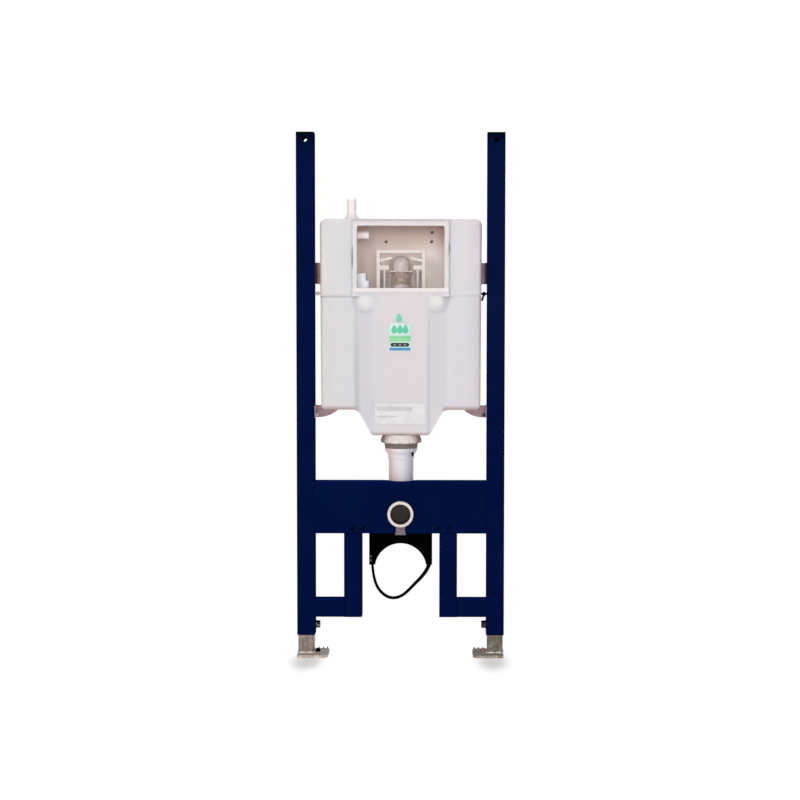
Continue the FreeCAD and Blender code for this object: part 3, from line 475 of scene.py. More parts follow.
# Dark tone, light tone, scale of the mottle, roughness, specular level, grain and depth of the relief, coat
plain_finishes = {
    "black_screw": ((8, 8, 9), (26, 26, 28), 200, (0.25, 0.45), 0.3, 1500),
    "black_plastic": ((0, 0, 0), (3, 2, 2), 40, (0.5, 0.65), 0.0, 1200, 0.0001, 0.01),
    "holder_metal": ((122, 94, 98), (152, 128, 133), 40, (0.4, 0.6), 0.2),
    "white_plastic": ((214, 206, 203), (226, 219, 217), 20, (0.3, 0.45), 0.35),
    "valve_plastic": ((180, 162, 160), (204, 188, 186), 60, (0.35, 0.5), 0.4),
    "seal_rubber": ((102, 88, 84), (118, 104, 99), 80, (0.6, 0.8), 0.2, 1500),
    "dark_pipe": ((58, 49, 47), (76, 66, 63), 30, (0.45, 0.6), 0.2),
    "saddle_plastic": ((94, 80, 89), (112, 98, 107), 60, (0.4, 0.55), 0.3),
    "bridge_plastic": ((204, 194, 190), (216, 206, 203), 40, (0.4, 0.55), 0.2),
    "brown_screw": ((126, 96, 70), (160, 128, 100), 300, (0.35, 0.5), 0.4, 2000),
    "inlet_plastic": ((236, 230, 229), (246, 241, 239), 90, (0.35, 0.5), 0.3),
    "plug_navy": ((1, 7, 27), (3, 11, 38), 60, (0.5, 0.65), 0.0, 1200),
    "plug_plastic": ((22, 16, 14), (37, 30, 28), 150, (0.5, 0.65), 0.2),
    "knob_plastic": ((244, 234, 231), (252, 243, 240), 90, (0.35, 0.5), 0.3),
    "float_plastic": ((236, 237, 245), (246, 246, 250), 60, (0.35, 0.5), 0.3),
    "ring_plastic": ((192, 180, 174), (216, 206, 200), 120, (0.25, 0.4), 0.4),
    "basket_plastic": ((128, 109, 101), (190, 171, 163), 190, (0.5, 0.65), 0.2),
    "slat_plastic": ((150, 136, 131), (206, 194, 190), 220, (0.4, 0.55), 0.3),
    "weld_metal": ((176, 170, 162), (232, 226, 218), 260, (0.25, 0.4), 0.5, 900, 0.0002),
}
looks = {name: speckled(name, *values) for name, values in plain_finishes.items()}
looks["navy_coat"] = navy_material()
looks["tank_plastic"] = tank_material()
looks["collar_plastic"] = collar_material()
looks["pad_plastic"] = pad_material()
looks["clip_metal"] = clip_material()
# Pink at the left to blue-grey at the right, darker towards both sides as painted shade.
looks["pipe_plastic_side_shade"] = banded("pipe_plastic_side_shade", 0.032, (
    (0.0, (206, 184, 178)), (0.25, (220, 205, 202)), (0.6, (208, 203, 212)), (1.0, (176, 168, 182)),
))
# Painted shade: the nut dark brown down both sides and bright in the middle.
looks["nut_plastic_side_shade"] = banded("nut_plastic_side_shade", 0.05, (
    (0.0, (84, 62, 54)), (0.08, (108, 84, 76)), (0.16, (200, 184, 177)), (0.3, (216, 206, 202)),
    (0.7, (214, 204, 201)), (0.84, (196, 178, 172)), (0.92, (98, 76, 70)), (1.0, (76, 56, 50)),
))

# Tones of the blotches, tones of the streaks and the share of the streaks where it isn't the usual one
zinc_finishes = {
    "zinc_plate": (((118, 106, 94), (178, 167, 157), (236, 228, 218)), ((148, 134, 124), (196, 184, 174))),
    "leg_zinc": (((92, 80, 72), (138, 124, 116), (180, 168, 160)), ((112, 98, 92), (150, 136, 128))),
    "aged_zinc": (((60, 52, 40), (104, 96, 85), (160, 152, 138)), ((82, 74, 64), (124, 115, 104)),
                  (0.1, 0.5)),
}
plate_finishes = {
    "clean_foot_zinc": (((134, 122, 112), (196, 185, 175), (246, 239, 230)),
                        ((168, 156, 146), (212, 201, 191))),
    "aged_foot_zinc": (((96, 86, 72), (160, 150, 138), (228, 221, 210)),
                       ((128, 117, 105), (180, 169, 158))),
}
for name, values in zinc_finishes.items():
    looks[name] = zinc_material(name, *values)
for name, values in plate_finishes.items():
    looks[name] = plate_material(name, *values)

# Nodes that look a little different from the rest of their material slot
own_look = {
    "access_collar": "collar_plastic",
    "flush_pipe": "pipe_plastic_side_shade",
    "outlet_nut": "nut_plastic_side_shade",
    "outlet_ring": "ring_plastic",
    "foot_leg_left": "leg_zinc",
    "foot_leg_right": "aged_zinc",
    "foot_plate_left": "clean_foot_zinc",
    "foot_plate_right": "aged_foot_zinc",
    "actuator_bridge": "bridge_plastic",
    "lift_arm_left": "bridge_plastic",
    "lift_arm_right": "bridge_plastic",
    "stop_valve": "knob_plastic",
    "inlet_spigot": "inlet_plastic",
    "fill_float": "float_plastic",
    "side_clip_left": "clip_metal",
    "side_clip_right": "clip_metal",
}
slot_of = {row["node"]: row["material_slot"] for row in frame["record"]["subparts"]}
for name, node in nodes.items():
    node.data.materials.clear()
    node.data.materials.append(looks[own_look.get(name, slot_of[name])])


def middle_of(node):
    """Middle of a node's box."""
    low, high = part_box(node)
    return (low + high) / 2


def add_piece(name, shape, slot, body="frame", look=None):
    """Object made of a bmesh, riding on a body, in the slot's own look unless another one is named."""
    bmesh.ops.recalc_face_normals(shape, faces=shape.faces)
    mesh = bpy.data.meshes.new(name)
    shape.to_mesh(mesh)
    shape.free()
    mesh.shade_smooth()
    mesh.set_sharp_from_angle(angle=SMOOTH_ANGLE)
    mesh.materials.append(looks[look or slot])
    piece = bpy.data.objects.new(name, mesh)
    bpy.context.scene.collection.objects.link(piece)
    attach(piece, body)


def band(shape, before, after):
    """Faces between two rings of points."""
    for index in range(len(before)):
        following = (index + 1) % len(before)
        shape.faces.new((before[index], before[following], after[following], after[index]))


def tube(shape, rings):
    """Skin over a run of rings, with a cap at each end."""
    for before, after in zip(rings, rings[1:]):
        band(shape, before, after)
    shape.faces.new(rings[0])
    shape.faces.new(rings[-1])


def lathe(shape, profile, foot, axis, steps=SMALL_STEPS, closed=False):
    """Solid of revolution from (radius, height) points, height along the axis from the foot."""
    turn = Vector(axis).to_track_quat("Z", "Y")
    rings = []
    for radius, height in profile:
        count = steps if radius > 0 else 1
        ring = []
        for step in range(count):
            angle = 2 * math.pi * step / steps
            spot = Vector((radius * math.cos(angle), radius * math.sin(angle), height))
            ring.append(shape.verts.new(Vector(foot) + turn @ spot))
        rings.append(ring)
    pairs = list(zip(rings, rings[1:]))
    if closed:
        pairs.append((rings[-1], rings[0]))
    for low, high in pairs:
        for step in range(steps):
            quad = ((low, step), (low, step + 1), (high, step + 1), (high, step))
            corners = [ring[place % len(ring)] for ring, place in quad]
            shape.faces.new(list(dict.fromkeys(corners)))


def dome(radius, height, steps, base=0.0):
    """Points of a domed head, upward from its rim in turns of 18 degrees."""
    angles = [math.radians(18 * step) for step in range(1, steps + 1)]
    return [(radius * math.cos(angle), base + height * math.sin(angle)) for angle in angles]


def hex_bolt(shape, foot, axis, across, washer):
    """Chamfered hexagon head on a washer."""
    washer_height = washer * 0.12
    height = across * 0.6
    corner = across / math.sqrt(3)
    edge = corner * 0.12
    lathe(shape, [(0, 0), (washer / 2, 0), (washer / 2, washer_height), (0, washer_height)], foot, axis)
    lathe(shape, [(0, 0), (corner, 0), (corner, height - edge), (corner - edge, height), (0, height)],
          Vector(foot) + Vector(axis) * washer_height, axis, steps=6)


def round_screw(shape, foot, axis, width):
    """Low domed head with a driver recess."""
    radius = width / 2
    height = radius * 0.7
    socket = radius * 0.4
    socket_floor = height * 0.4
    recess = [(socket, height), (socket, socket_floor), (0, socket_floor)]
    lathe(shape, [(0, 0), (radius, 0)] + dome(radius, height, 4) + recess, foot, axis)


def plate(shape, low, high, edge):
    """Flat block between two corners with its edges rounded."""
    made = bmesh.ops.create_cube(shape, size=1.0)["verts"]
    size = Vector(high) - Vector(low)
    middle = (Vector(high) + Vector(low)) / 2
    placed = Matrix.Translation(middle) @ Matrix.Diagonal((*size, 1))
    bmesh.ops.transform(shape, verts=made, matrix=placed)
    edges = list(dict.fromkeys(link for vert in made for link in vert.link_edges))
    bmesh.ops.bevel(shape, geom=edges, offset=edge, segments=3, profile=0.5, affect="EDGES")


def joined(shape, part, matrix):
    """Adds a copy of another bmesh, moved by the matrix, and frees it."""
    bmesh.ops.transform(part, verts=part.verts, matrix=matrix)
    mesh = bpy.data.meshes.new("part")
    part.to_mesh(mesh)
    part.free()
    shape.from_mesh(mesh)
    bpy.data.meshes.remove(mesh)


def soften_strap():
    """Rounds the edges of the strap's visual."""
    strap = nodes["waste_strap"]
    weld = strap.modifiers.new("weld", "WELD")
    weld.merge_threshold = MERGE
    bevel = strap.modifiers.new("bevel", "BEVEL")
    bevel.width = 0.0018
    bevel.segments = 3
    bevel.limit_method = "ANGLE"
    bevel.angle_limit = SMOOTH_ANGLE


def add_stud_plugs():
    """Dark rubber plugs in the four pan stud holes."""
    radius = 0.0064
    length = 0.0086
    rim = 0.0008
    foot_depth = 0.0092
    profile = [(0, 0), (radius, 0), (radius, length - rim), (radius * 0.9, length - rim / 2),
               (radius * 0.3, length), (0, length)]
    shape = bmesh.new()
    for place in ("left_outer", "left_inner", "right_inner", "right_outer"):
        bush = middle_of("stud_bush_" + place)
        lathe(shape, profile, (bush.x, FRONT_Y + foot_depth, bush.z), TO_FRONT)
    add_piece("stud_plugs", shape, "black_plastic", look="plug_navy")


def add_wall_plug():
    """Black plug in the rear wall fixing hole of the right upright."""
    radius = 0.0054
    wall = 0.002
    hole_drop = 0.018
    profile = [(0, 0), (radius, 0), (radius, wall), (radius + wall, wall), (radius, 2 * wall), (0, 2 * wall)]
    shape = bmesh.new()
    place = (middle_of("upright_right").x, UPRIGHT_HIGH.y, FRAME_TOP - hole_drop)
    lathe(shape, profile, place, TO_FRONT)
    add_piece("wall_plug", shape, "black_plastic")


def add_support_bolts():
    """Bolt that holds each support bracket to its upright and the nut under its shelf."""
    sheet = 0.003
    bolt_depth, bolt_rise = 0.0115, 0.0065
    nut_reach, nut_depth, nut_drop = 0.026, 0.044, 0.014
    for side, sign in SIDES.items():
        low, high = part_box("support_bracket_" + side)
        bolt = (sign * (INNER_X - sheet), FRONT_Y + bolt_depth, low.z + bolt_rise)
        nut = (sign * (INNER_X - nut_reach), FRONT_Y + nut_depth, high.z - nut_drop)
        shape = bmesh.new()
        hex_bolt(shape, bolt, (-sign, 0, 0), across=0.008, washer=0.011)
        hex_bolt(shape, nut, DOWN, across=0.010, washer=0.016)
        add_piece("support_bolts_" + side, shape, "zinc_plate" if side == "left" else "black_screw")


def add_bracket_rivets():
    """Two small screws on the left leg of the drain bracket."""
    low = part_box("drain_bracket")[0]
    from_edge = 0.004
    shape = bmesh.new()
    for rise in (0.0207, 0.0109):
        round_screw(shape, (low.x + from_edge, low.y, low.z + rise), TO_FRONT, width=0.0055)
    add_piece("bracket_rivets", shape, "zinc_plate", look="aged_zinc")


def add_inner_screws():
    """Brown screw heads on the inner back wall of the tank."""
    shape = bmesh.new()
    wall_y = TANK_HIGH.y - TANK_WALL
    for x, drop in ((-0.0393, 0.0489), (0.0728, 0.0488), (0.074, 0.026)):
        round_screw(shape, (x, wall_y, TANK_HIGH.z - drop), TO_FRONT, width=0.0078)
    add_piece("inner_screws", shape, "holder_metal", look="brown_screw")


def add_inlet_thread():
    """Screw thread on the spigot, wound as one continuous ridge that fades out at both ends."""
    middle = middle_of("inlet_spigot")
    root = 0.01035
    ridge = 0.0007
    pitch = 0.001814
    turns = 13
    end_gap = 0.001
    thinnest = 0.2
    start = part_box("inlet_spigot")[1].z - end_gap - turns * pitch
    section = ((0, -0.42), (ridge, -0.12), (ridge, 0.12), (0, 0.42))
    count = turns * SMALL_STEPS
    shape = bmesh.new()
    rings = []
    for index in range(count + 1):
        turn = index / SMALL_STEPS
        angle = 2 * math.pi * turn
        fade = min(1.0, turn, turns - turn)
        ring = []
        for rise, along in section:
            radius = root + rise * fade
            x = middle.x + radius * math.cos(angle)
            y = middle.y + radius * math.sin(angle)
            ring.append(shape.verts.new((x, y, start + pitch * (turn + along * max(fade, thinnest)))))
        rings.append(ring)
    tube(shape, rings)
    add_piece("inlet_thread", shape, "white_plastic", look="inlet_plastic")


def add_pipe_trim():
    """Moulded beads round the flush pipe and the dark clip under its top ring."""
    middle = middle_of("flush_pipe")
    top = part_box("flush_pipe")[1].z
    bead_steps = 8
    flatness = 0.45
    shape = bmesh.new()
    for drop, radius, size in ((0.023, 0.0311, 0.0024), (0.054, 0.030, 0.0009)):
        profile = []
        for step in range(bead_steps):
            angle = 2 * math.pi * step / bead_steps
            out = radius + size * flatness * math.cos(angle)
            profile.append((out, top - drop + size * math.sin(angle)))
        lathe(shape, profile, (middle.x, middle.y, 0), UP, steps=ROUND_STEPS, closed=True)
    add_piece("pipe_beads", shape, "white_plastic", look="pipe_plastic_side_shade")
    clip_x, clip_half = 0.0287, 0.0022
    clip_front, clip_back = middle.y - 0.026, middle.y - 0.012
    clip_low, clip_high = top - 0.018, top - 0.009
    clip = bmesh.new()
    plate(clip, (clip_x - clip_half, clip_front, clip_low), (clip_x + clip_half, clip_back, clip_high),
          edge=0.0008)
    add_piece("pipe_clip", clip, "black_plastic")


def add_outlet_plug():
    """Dark protective plug a little inside the outlet ring, with a stepped rim and a low dome."""
    ring = middle_of("outlet_ring")
    recess = 0.0085
    foot = (ring.x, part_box("outlet_ring")[0].y + recess, ring.z)
    radius = 0.0243
    deep = 0.0045
    groove = 0.003
    dome_low = 0.0033
    dome_share = 0.8
    dome_steps = 5
    profile = [(0, 0), (radius, 0), (radius, deep), (radius * 0.92, deep), (radius * 0.88, groove)]
    for step in range(dome_steps):
        share = dome_share * (1 - step / dome_steps)
        profile.append((radius * share, dome_low + (deep - dome_low) * (1 - share ** 2)))
    profile.append((0, deep))
    shape = bmesh.new()
    lathe(shape, profile, foot, TO_FRONT, steps=ROUND_STEPS)
    add_piece("outlet_plug", shape, "dark_pipe", look="plug_plastic")


def add_valve_basket():
    """Ribbed basket round the neck of the flush valve."""
    valve_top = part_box("flush_valve")[1].z
    valve_y = FRONT_Y + 0.052
    low, high = valve_top - 0.0695, valve_top - 0.0405
    core_inner, core_outer = 0.0152, 0.0186
    fin_inner, fin_outer, fin_half = 0.0146, 0.0208, 0.001
    count = 16
    shape = bmesh.new()
    for index in range(count):
        fin = bmesh.new()
        plate(fin, (fin_inner, -fin_half, low), (fin_outer, fin_half, high), edge=0.0004)
        turn = Matrix.Rotation(2 * math.pi * index / count, 4, "Z")
        joined(shape, fin, Matrix.Translation((0, valve_y, 0)) @ turn)
    core = [(core_inner, low), (core_outer, low), (core_outer, high), (core_inner, high)]
    lathe(shape, core, (0, valve_y, 0), UP, steps=ROUND_STEPS, closed=True)
    add_piece("valve_basket", shape, "valve_plastic", look="basket_plastic")


def add_valve_slats():
    """Row of slats inside the bridge on each side of the flush valve."""
    bridge_low, bridge_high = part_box("actuator_bridge")
    inner, outer = 0.0245, bridge_high.x - 0.009
    front, back = FRONT_Y + 0.058, FRONT_Y + 0.061
    half = 0.0021
    shelf = bridge_low.z + 0.008
    tallest = bridge_high.z - 0.050
    stagger = 0.003
    count = 5
    pitch = (outer - inner) / count
    shape = bmesh.new()
    for sign in SIDES.values():
        for index in range(count):
            x = sign * (inner + pitch * (index + 0.5))
            top = tallest - stagger * (index % 2)
            plate(shape, (x - half, front, shelf), (x + half, back, top), edge=0.0006)
    add_piece("valve_slats", shape, "valve_plastic", look="slat_plastic")


def add_anchor_caps():
    """Dome cap in the anchor hole of each foot plate, black at the left and brown at the right."""
    rim, lip = 0.0064, 0.0012
    from_leg = 0.008
    crown_radius, crown_height = 0.0054, 0.0075
    profile = [(0, 0), (rim, 0), (rim, lip)] + dome(crown_radius, crown_height, 5, lip)
    for side, sign in SIDES.items():
        low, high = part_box("foot_leg_" + side)
        inner = min(abs(low.x), abs(high.x))
        shape = bmesh.new()
        lathe(shape, profile, (sign * (inner - from_leg), (low.y + high.y) / 2, low.z), UP)
        look = "brown_screw" if side == "right" else None
        add_piece("anchor_cap_" + side, shape, "black_plastic", side + "_foot", look)


def add_foot_welds():
    """Uneven weld bead round the base of each leg, thickest at two places on each side."""
    thick, swell, ripple = 0.0028, 0.0013, 0.0003
    sunk = 0.0008
    around = 8
    per_side = 16
    for side in SIDES:
        low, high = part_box("foot_leg_" + side)
        corners = [(low.x, low.y), (high.x, low.y), (high.x, high.y), (low.x, high.y)]
        centre = Vector(((low.x + high.x) / 2, (low.y + high.y) / 2, low.z))
        shape = bmesh.new()
        rings = []
        for index in range(len(corners) * per_side):
            share = index % per_side / per_side
            start = Vector((*corners[index // per_side], low.z))
            end = Vector((*corners[(index // per_side + 1) % len(corners)], low.z))
            spine = start + (end - start) * share
            outward = (spine - centre).normalized()
            radius = thick - swell * math.cos(4 * math.pi * share) + ripple * math.sin(1.9 * index)
            ring = []
            for turn in range(around):
                angle = 2 * math.pi * turn / around
                spot = spine + outward * radius * math.cos(angle)
                spot.x = max(cad_box[0][0], min(cad_box[1][0], spot.x))
                spot.z += max(radius * math.sin(angle), -sunk)
                ring.append(shape.verts.new(spot))
            rings.append(ring)
        for before, after in zip(rings, rings[1:] + rings[:1]):
            band(shape, before, after)
        add_piece("foot_weld_" + side, shape, "zinc_plate", body=side + "_foot", look="weld_metal")


def outline_of_cut(mesh, depth):
    """Points round the outside of a solid where the plane at the given depth cuts it."""
    cut = bmesh.new()
    cut.from_mesh(mesh)
    bmesh.ops.remove_doubles(cut, verts=cut.verts, dist=MERGE)
    everything = list(cut.verts) + list(cut.edges) + list(cut.faces)
    made = bmesh.ops.bisect_plane(cut, geom=everything, plane_co=(0, depth, 0), plane_no=(0, 1, 0))
    cut_edges = [item for item in made["geom_cut"] if isinstance(item, bmesh.types.BMEdge)]
    links = {}
    for edge in dict.fromkeys(cut_edges):
        for vert in edge.verts:
            links.setdefault(vert, []).append(edge.other_vert(vert))
    first = max(links, key=lambda vert: (vert.co.x, vert.co.z))
    loop = [first, links[first][0]]
    while True:
        onward = [vert for vert in links[loop[-1]] if vert is not loop[-2]]
        if not onward or onward[0] is first:
            break
        loop.append(onward[0])
    spots = [vert.co.copy() for vert in loop]
    cut.free()
    return spots


def add_parting_ridge():
    """Thin moulding ridge round the tank where the two halves of its mould met, not on the outlet neck."""
    neck_half, neck_top = 0.056, TANK_LOW.z + 0.05
    section = ((-0.0009, -0.0003), (-0.0004, 0.0006), (0.0004, 0.0006), (0.0009, -0.0003))
    spots = outline_of_cut(nodes["cistern_tank"].data, FRONT_Y + 0.072)
    area = sum(a.x * b.z - b.x * a.z for a, b in zip(spots, spots[1:] + spots[:1]))
    shape = bmesh.new()
    rings = []
    for index, spot in enumerate(spots):
        heading = (spots[(index + 1) % len(spots)] - spots[index - 1]).normalized()
        outward = Vector((heading.z, 0, -heading.x)) * (1 if area > 0 else -1)
        ring = []
        for along, rise in section:
            ring.append(shape.verts.new(spot + outward * rise + Vector((0, along, 0))))
        rings.append(ring)
    for before, after in zip(rings, rings[1:] + rings[:1]):
        middle = (before[0].co + after[0].co) / 2
        if abs(middle.x) >= neck_half or middle.z >= neck_top:
            band(shape, before, after)
    loose = [vert for vert in shape.verts if not vert.link_faces]
    bmesh.ops.delete(shape, geom=loose, context="VERTS")
    bmesh.ops.holes_fill(shape, edges=[edge for edge in shape.edges if edge.is_boundary])
    add_piece("parting_ridge", shape, "tank_plastic")


def add_boss_pads():
    """Soft mounds that blend the two bosses into the tank's front, closed behind its surface."""
    flat_half, crease_half, crease_drop = 0.064, 0.110, 0.014
    crown = BULGE_Y - 0.0008
    root_y = BULGE_Y + crease_drop * 0.65
    buried = 0.0004
    ring_count = 14
    plateau = 0.36
    shape = bmesh.new()
    for sign in SIDES.values():
        rings = []
        for number in range(1, ring_count + 1):
            share = number / ring_count
            run = max(0.0, (share - plateau) / (1 - plateau))
            lift = 1 - run * run * (3 - 2 * run)
            ring = []
            for step in range(ROUND_STEPS):
                angle = 2 * math.pi * step / ROUND_STEPS
                x = BOSS_X + PAD_WIDE * share * math.cos(angle)
                slope = min(1.0, max(0.0, (x - flat_half) / (crease_half - flat_half)))
                ground = BULGE_Y + crease_drop * slope + buried
                y = ground + (crown - ground) * lift
                ring.append(shape.verts.new((sign * x, y, BOSS_Z + PAD_HIGH * share * math.sin(angle))))
            rings.append(ring)
        top = shape.verts.new((sign * BOSS_X, crown, BOSS_Z))
        root = shape.verts.new((sign * BOSS_X, root_y, BOSS_Z))
        for step in range(ROUND_STEPS):
            after = (step + 1) % ROUND_STEPS
            shape.faces.new((top, rings[0][step], rings[0][after]))
            shape.faces.new((root, rings[-1][after], rings[-1][step]))
            for inner, outer in zip(rings, rings[1:]):
                shape.faces.new((inner[step], outer[step], outer[after], inner[after]))
    add_piece("boss_pads", shape, "tank_plastic", look="pad_plastic")


def add_corner_pads():
    """Rubber pad between each lower corner of the tank and its support bracket."""
    outer, inner = 0.194, 0.181
    front, back = FRONT_Y + 0.024, FRONT_Y + 0.060
    top = WING_BOTTOM + 0.0085
    for side, sign in SIDES.items():
        shape = bmesh.new()
        plate(shape, (sign * outer, front, WING_BOTTOM), (sign * inner, back, top), edge=0.0015)
        add_piece("corner_pad_" + side, shape, "holder_metal")


def add_screw_glint():
    """Bright zinc strip across the head of the left clamp screw, a painted highlight that stands in for a
    glint on it.
    """
    middle = middle_of("clamp_screw_left")
    half_long, half_thick, half_high = 0.006, 0.0008, 0.0009
    from_end, from_axis = 0.0055, 0.0085
    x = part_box("clamp_screw_left")[1].x - from_end
    y = middle.y - from_axis
    # Painted highlight: a bright slanted strip where the screw head shows a glint.
    shape = bmesh.new()
    plate(shape, (x - half_long, y - half_thick, middle.z - half_high),
          (x + half_long, y + half_thick, middle.z + half_high), edge=0.0004)
    tilt = Matrix.Rotation(math.radians(32), 4, "Y")
    bmesh.ops.rotate(shape, verts=shape.verts, cent=(x, y, middle.z), matrix=tilt)
    add_piece("screw_glint", shape, "zinc_plate")


def add_collar_gap_shadows():
    """Dark strip beside each side of the collar that stands in for the shadow in the gap to the tank, widest
    in its middle.
    """
    narrow, swell = 0.0004, 0.0016
    inner_front, outer_front = COLLAR_LOW.y + 0.001, COLLAR_LOW.y + 0.0014
    steps = 12
    # Painted shadow: a dark strip in the gap at each side of the collar.
    shape = bmesh.new()
    for sign, start, end in ((-1, 0.053, 0.113), (1, 0.087, 0.123)):
        edge = COLLAR_HIGH.x * sign
        rings = []
        for step in range(steps + 1):
            along = step / steps
            outer = edge + sign * (narrow + swell * math.sin(math.pi * along))
            z = COLLAR_LOW.z + start + (end - start) * along
            spots = ((edge, BULGE_Y), (edge, inner_front), (outer, outer_front), (outer, BULGE_Y))
            rings.append([shape.verts.new((x, y, z)) for x, y in spots])
        tube(shape, rings)
    add_piece("collar_gap_shadows", shape, "black_plastic")


def add_lug_lever():
    """Short slanted lever under the black lug on the right."""
    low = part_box("side_lug_right")[0]
    x = low.x + 0.0035
    y = middle_of("side_lug_right").y
    top = low.z + 0.002
    bottom = low.z - 0.0125
    half_wide, half_deep = 0.0024, 0.003
    shape = bmesh.new()
    plate(shape, (x - half_wide, y - half_deep, bottom), (x + half_wide, y + half_deep, top), edge=0.0008)
    slant = Matrix.Rotation(math.radians(18), 4, "Y")
    bmesh.ops.rotate(shape, verts=shape.verts, cent=(x, y, (bottom + top) / 2), matrix=slant)
    add_piece("lug_lever", shape, "black_plastic")


def add_outlet_lugs():
    """Bayonet lugs on the rim of the outlet ring."""
    low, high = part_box("outlet_ring")
    middle = middle_of("outlet_ring")
    radius = (high.x - low.x) / 2
    from_front = 0.005
    lug_low, lug_high = (-0.0016, -0.003, -0.0014), (0.0018, 0.003, 0.0014)
    shape = bmesh.new()
    for angle in (75, 100, 178):
        turn = math.radians(angle)
        spot = Vector((middle.x + radius * math.cos(turn), low.y + from_front,
                       middle.z + radius * math.sin(turn)))
        lug = bmesh.new()
        plate(lug, lug_low, lug_high, edge=0.0005)
        joined(shape, lug, Matrix.Translation(spot) @ Matrix.Rotation(-turn, 4, "Y"))
    add_piece("outlet_lugs", shape, "saddle_plastic")


def tile(shape, outline, back, thick):
    """Flat piece with the given (x, z) outline, its front face drawn in by a hair."""
    middle_x = sum(x for x, z in outline) / len(outline)
    middle_z = sum(z for x, z in outline) / len(outline)
    hem = 0.985
    rear = [shape.verts.new((x, back, z)) for x, z in outline]
    front = []
    for x, z in outline:
        drawn_in = (middle_x + (x - middle_x) * hem, back - thick, middle_z + (z - middle_z) * hem)
        front.append(shape.verts.new(drawn_in))
    band(shape, rear, front)
    shape.faces.new(front)
    shape.faces.new(list(reversed(rear)))


def rounded_box(left, right, low, high, radius):
    """Outline of a rectangle with round corners."""
    outline = []
    for x, z, start in ((right, high, 0), (left, high, 90), (left, low, 180), (right, low, 270)):
        centre_x = x - radius if x == right else x + radius
        centre_z = z - radius if z == high else z + radius
        for step in range(7):
            angle = math.radians(start + 15 * step)
            outline.append((centre_x + radius * math.cos(angle), centre_z + radius * math.sin(angle)))
    return outline


def drop_shape(x, low, high):
    """Outline of a water drop with its tip up."""
    size = (high - low) / 2
    steps = 28
    outline = []
    for step in range(steps):
        angle = 2 * math.pi * (step + 0.5) / steps
        width = 0.8 * size * math.sin(angle) * math.sin(angle / 2)
        outline.append((x - width, low + size + size * math.cos(angle)))
    return outline


def add_print(name, colour, layer, outlines, ink=None):
    """Printed film on the flat front of the tank: one colour with a faint mottle, on a layer of its own."""
    ink = ink or name
    thick = 0.00025
    shade = tuple(0.94 * value for value in colour)
    looks[ink] = speckled(ink, shade, colour, 60, (0.35, 0.5), 0.2, grain=700, depth=0.00005)
    shape = bmesh.new()
    for outline in outlines:
        tile(shape, outline, BULGE_Y - thick * layer, thick)
    add_piece(name, shape, "white_plastic", look=ink)


def add_sticker():
    """Plain water-saving sticker of drops and bands."""
    left, right = -0.0283, 0.0247
    middle = (left + right) / 2
    bands = (
        ("sticker_base", (188, 222, 208), 0, 0.0, 0.0, 0.0685, 0.004),
        ("sticker_blue", (66, 138, 184), 1, 0.001, 0.0010, 0.0075, 0.003),
        ("sticker_dark", (52, 56, 54), 1, 0.004, 0.0100, 0.0195, 0.0045),
        ("sticker_green", (140, 204, 156), 1, 0.001, 0.0225, 0.0365, 0.001),
        ("sticker_pale", (214, 222, 220), 1, 0.003, 0.0390, 0.0660, 0.003),
    )
    for name, colour, layer, inset, low, high, corner in bands:
        outline = rounded_box(left + inset, right - inset, STICKER_LOW + low, STICKER_LOW + high, corner)
        add_print(name, colour, layer, [outline])
    columns = (-1, 0, 1)
    drop_pitch, drop_low, drop_high = 0.0135, STICKER_LOW + 0.041, STICKER_LOW + 0.064
    drops = [drop_shape(middle + drop_pitch * column, drop_low, drop_high) for column in columns]
    add_print("sticker_teal", (92, 190, 158), 2, drops)
    crest = drop_shape(middle - 0.002, STICKER_LOW + 0.069, STICKER_LOW + 0.0911)
    add_print("sticker_crest", (104, 200, 172), 0, [crest])
    dot_pitch, dot_half, dot_z = 0.012, 0.002, STICKER_LOW + 0.0148
    dots = []
    for column in columns:
        x = middle + column * dot_pitch
        dots.append(rounded_box(x - dot_half, x + dot_half, dot_z - dot_half, dot_z + dot_half, 0.0019))
    add_print("sticker_dots", (150, 156, 152), 2, dots)


def add_label():
    """Blank white label with two grey bars, low on the tank's front."""
    left, right, height = -0.0624, 0.0598, 0.051
    bar_left = -0.057
    paper = rounded_box(left, right, LABEL_LOW, LABEL_LOW + height, 0.0015)
    add_print("blank_label", (216, 212, 213), 0, [paper], ink="label_white")
    bars = []
    for low, high, end in ((0.032, 0.0425, 0.028), (0.016, 0.0205, -0.010)):
        bars.append(rounded_box(bar_left, end, LABEL_LOW + low, LABEL_LOW + high, 0.001))
    add_print("label_bars", (196, 190, 193), 1, bars, ink="label_grey")


def floor_material():
    """White floor that glows like the backdrop, with a painted soft shadow in front of each foot plate."""
    material, tree, shader = new_material("floor_white")
    depth = parts_of_place(tree)["Y"]
    shade = ramp(tree, spot_distance(tree, depth, SHADE_PLACE, SHADE_HALF), [
        (0.0, srgb(200, 200, 200)), (0.4, srgb(210, 210, 210)),
        (0.75, srgb(242, 242, 242)), (1.0, srgb(255, 255, 255)),
    ])
    distance = spread(tree, length_of(tree, place_of(tree)), 0, 1, 0.5, 1.4)
    base = ramp(tree, distance, [(0.0, (0.1, 0.1, 0.1)), (1.0, (0.0, 0.0, 0.0))])
    tree.links.new(base, shader.inputs["Base Color"])
    tree.links.new(shade, shader.inputs["Emission Color"])
    tree.links.new(spread(tree, distance, 0.95, 1.0), shader.inputs["Emission Strength"])
    set_inputs(shader, Roughness=0.9, Specular_IOR_Level=0.0)
    return material


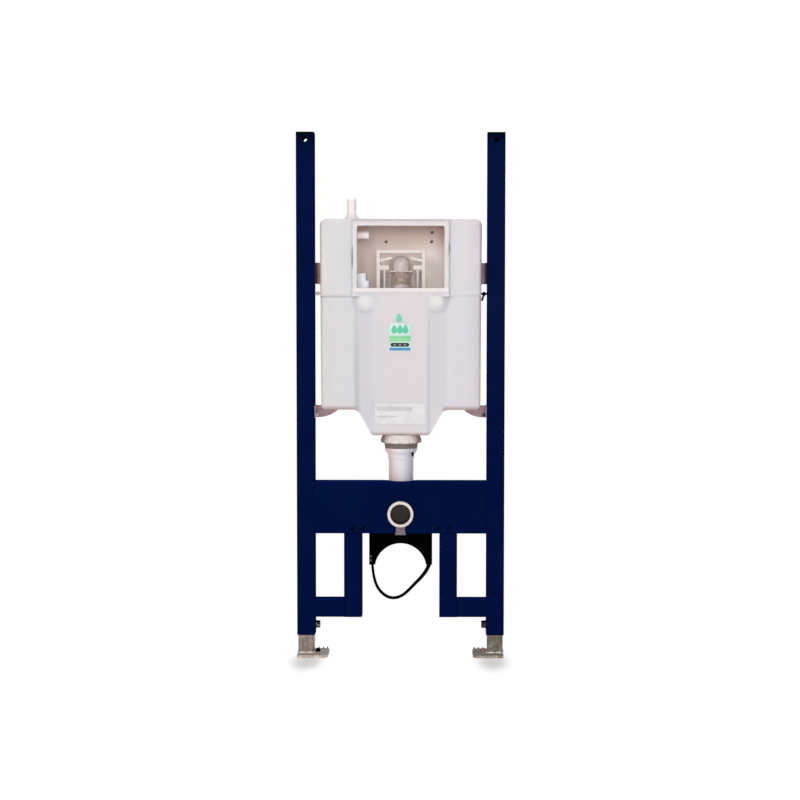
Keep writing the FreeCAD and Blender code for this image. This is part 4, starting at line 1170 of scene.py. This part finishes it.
def make_stage():
    """Floor in two halves; each follows the foot that stands on it, so that no foot sinks into it."""
    material = floor_material()
    for side, sign in SIDES.items():
        left, right = sorted((0.0, sign * FLOOR_HALF))
        near, far = -FLOOR_HALF, FLOOR_HALF
        corners = [(left, near, 0), (right, near, 0), (right, far, 0), (left, far, 0)]
        half = bpy.data.meshes.new("floor_" + side)
        half.from_pydata(corners, [], [(0, 1, 2, 3)])
        half.materials.append(material)
        floor = bpy.data.objects.new("floor_" + side, half)
        bpy.context.scene.collection.objects.link(floor)
        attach(floor, side + "_foot")


def make_world():
    """White studio surround, dimmer as a light source than as a backdrop."""
    white = (1, 1, 1, 1)
    world = bpy.data.worlds.new("studio")
    world.use_nodes = True
    tree = world.node_tree
    backdrop = tree.nodes["Background"]
    set_inputs(backdrop, Color=white, Strength=1.0)
    ambient = add_node(tree, "ShaderNodeBackground", Color=white, Strength=AMBIENT)
    rays = add_node(tree, "ShaderNodeLightPath")
    mix = add_node(tree, "ShaderNodeMixShader")
    tree.links.new(rays.outputs["Is Camera Ray"], mix.inputs["Fac"])
    tree.links.new(ambient.outputs["Background"], mix.inputs[1])
    tree.links.new(backdrop.outputs["Background"], mix.inputs[2])
    tree.links.new(mix.outputs["Shader"], tree.nodes["World Output"].inputs["Surface"])
    bpy.context.scene.world = world


def make_lamps():
    """Large soft lamps in front of the frame."""
    for name, (place, width, power) in LAMPS.items():
        data = bpy.data.lights.new(name, "AREA")
        data.shape = "DISK"
        data.size = width
        data.energy = power
        lamp = bpy.data.objects.new(name, data)
        lamp.location = place
        lamp.rotation_euler = (Vector(LAMPS_AIM) - Vector(place)).to_track_quat("-Z", "Y").to_euler()
        lamp.visible_camera = False
        bpy.context.scene.collection.objects.link(lamp)


def make_camera():
    """Camera right of the middle, with a sideways lens shift that keeps level lines level."""
    data = bpy.data.cameras.new("camera")
    data.lens = CAMERA_LENS
    data.sensor_width = SENSOR
    camera = bpy.data.objects.new("camera", data)
    camera.location = CAMERA_PLACE
    aim = Vector((CAMERA_PLACE[0], FRONT_Y, CAMERA_AIM_Z)) - Vector(CAMERA_PLACE)
    data.shift_x = (PICTURE_MIDDLE_X - CAMERA_PLACE[0]) / aim.length * CAMERA_LENS / SENSOR
    turn = aim.to_track_quat("-Z", "Y").to_matrix() @ Matrix.Rotation(math.radians(CAMERA_ROLL), 3, "Z")
    camera.rotation_euler = turn.to_euler()
    bpy.context.scene.collection.objects.link(camera)
    bpy.context.scene.camera = camera


soften_strap()
add_stud_plugs()
add_wall_plug()
add_support_bolts()
add_bracket_rivets()
add_inner_screws()
add_inlet_thread()
add_pipe_trim()
add_outlet_plug()
add_valve_basket()
add_valve_slats()
add_anchor_caps()
add_foot_welds()
add_parting_ridge()
add_boss_pads()
add_corner_pads()
add_screw_glint()
add_collar_gap_shadows()
add_lug_lever()
add_outlet_lugs()
add_sticker()
add_label()
make_stage()
make_world()
make_lamps()
make_camera()
bpy.context.scene.view_settings.view_transform = "Standard"
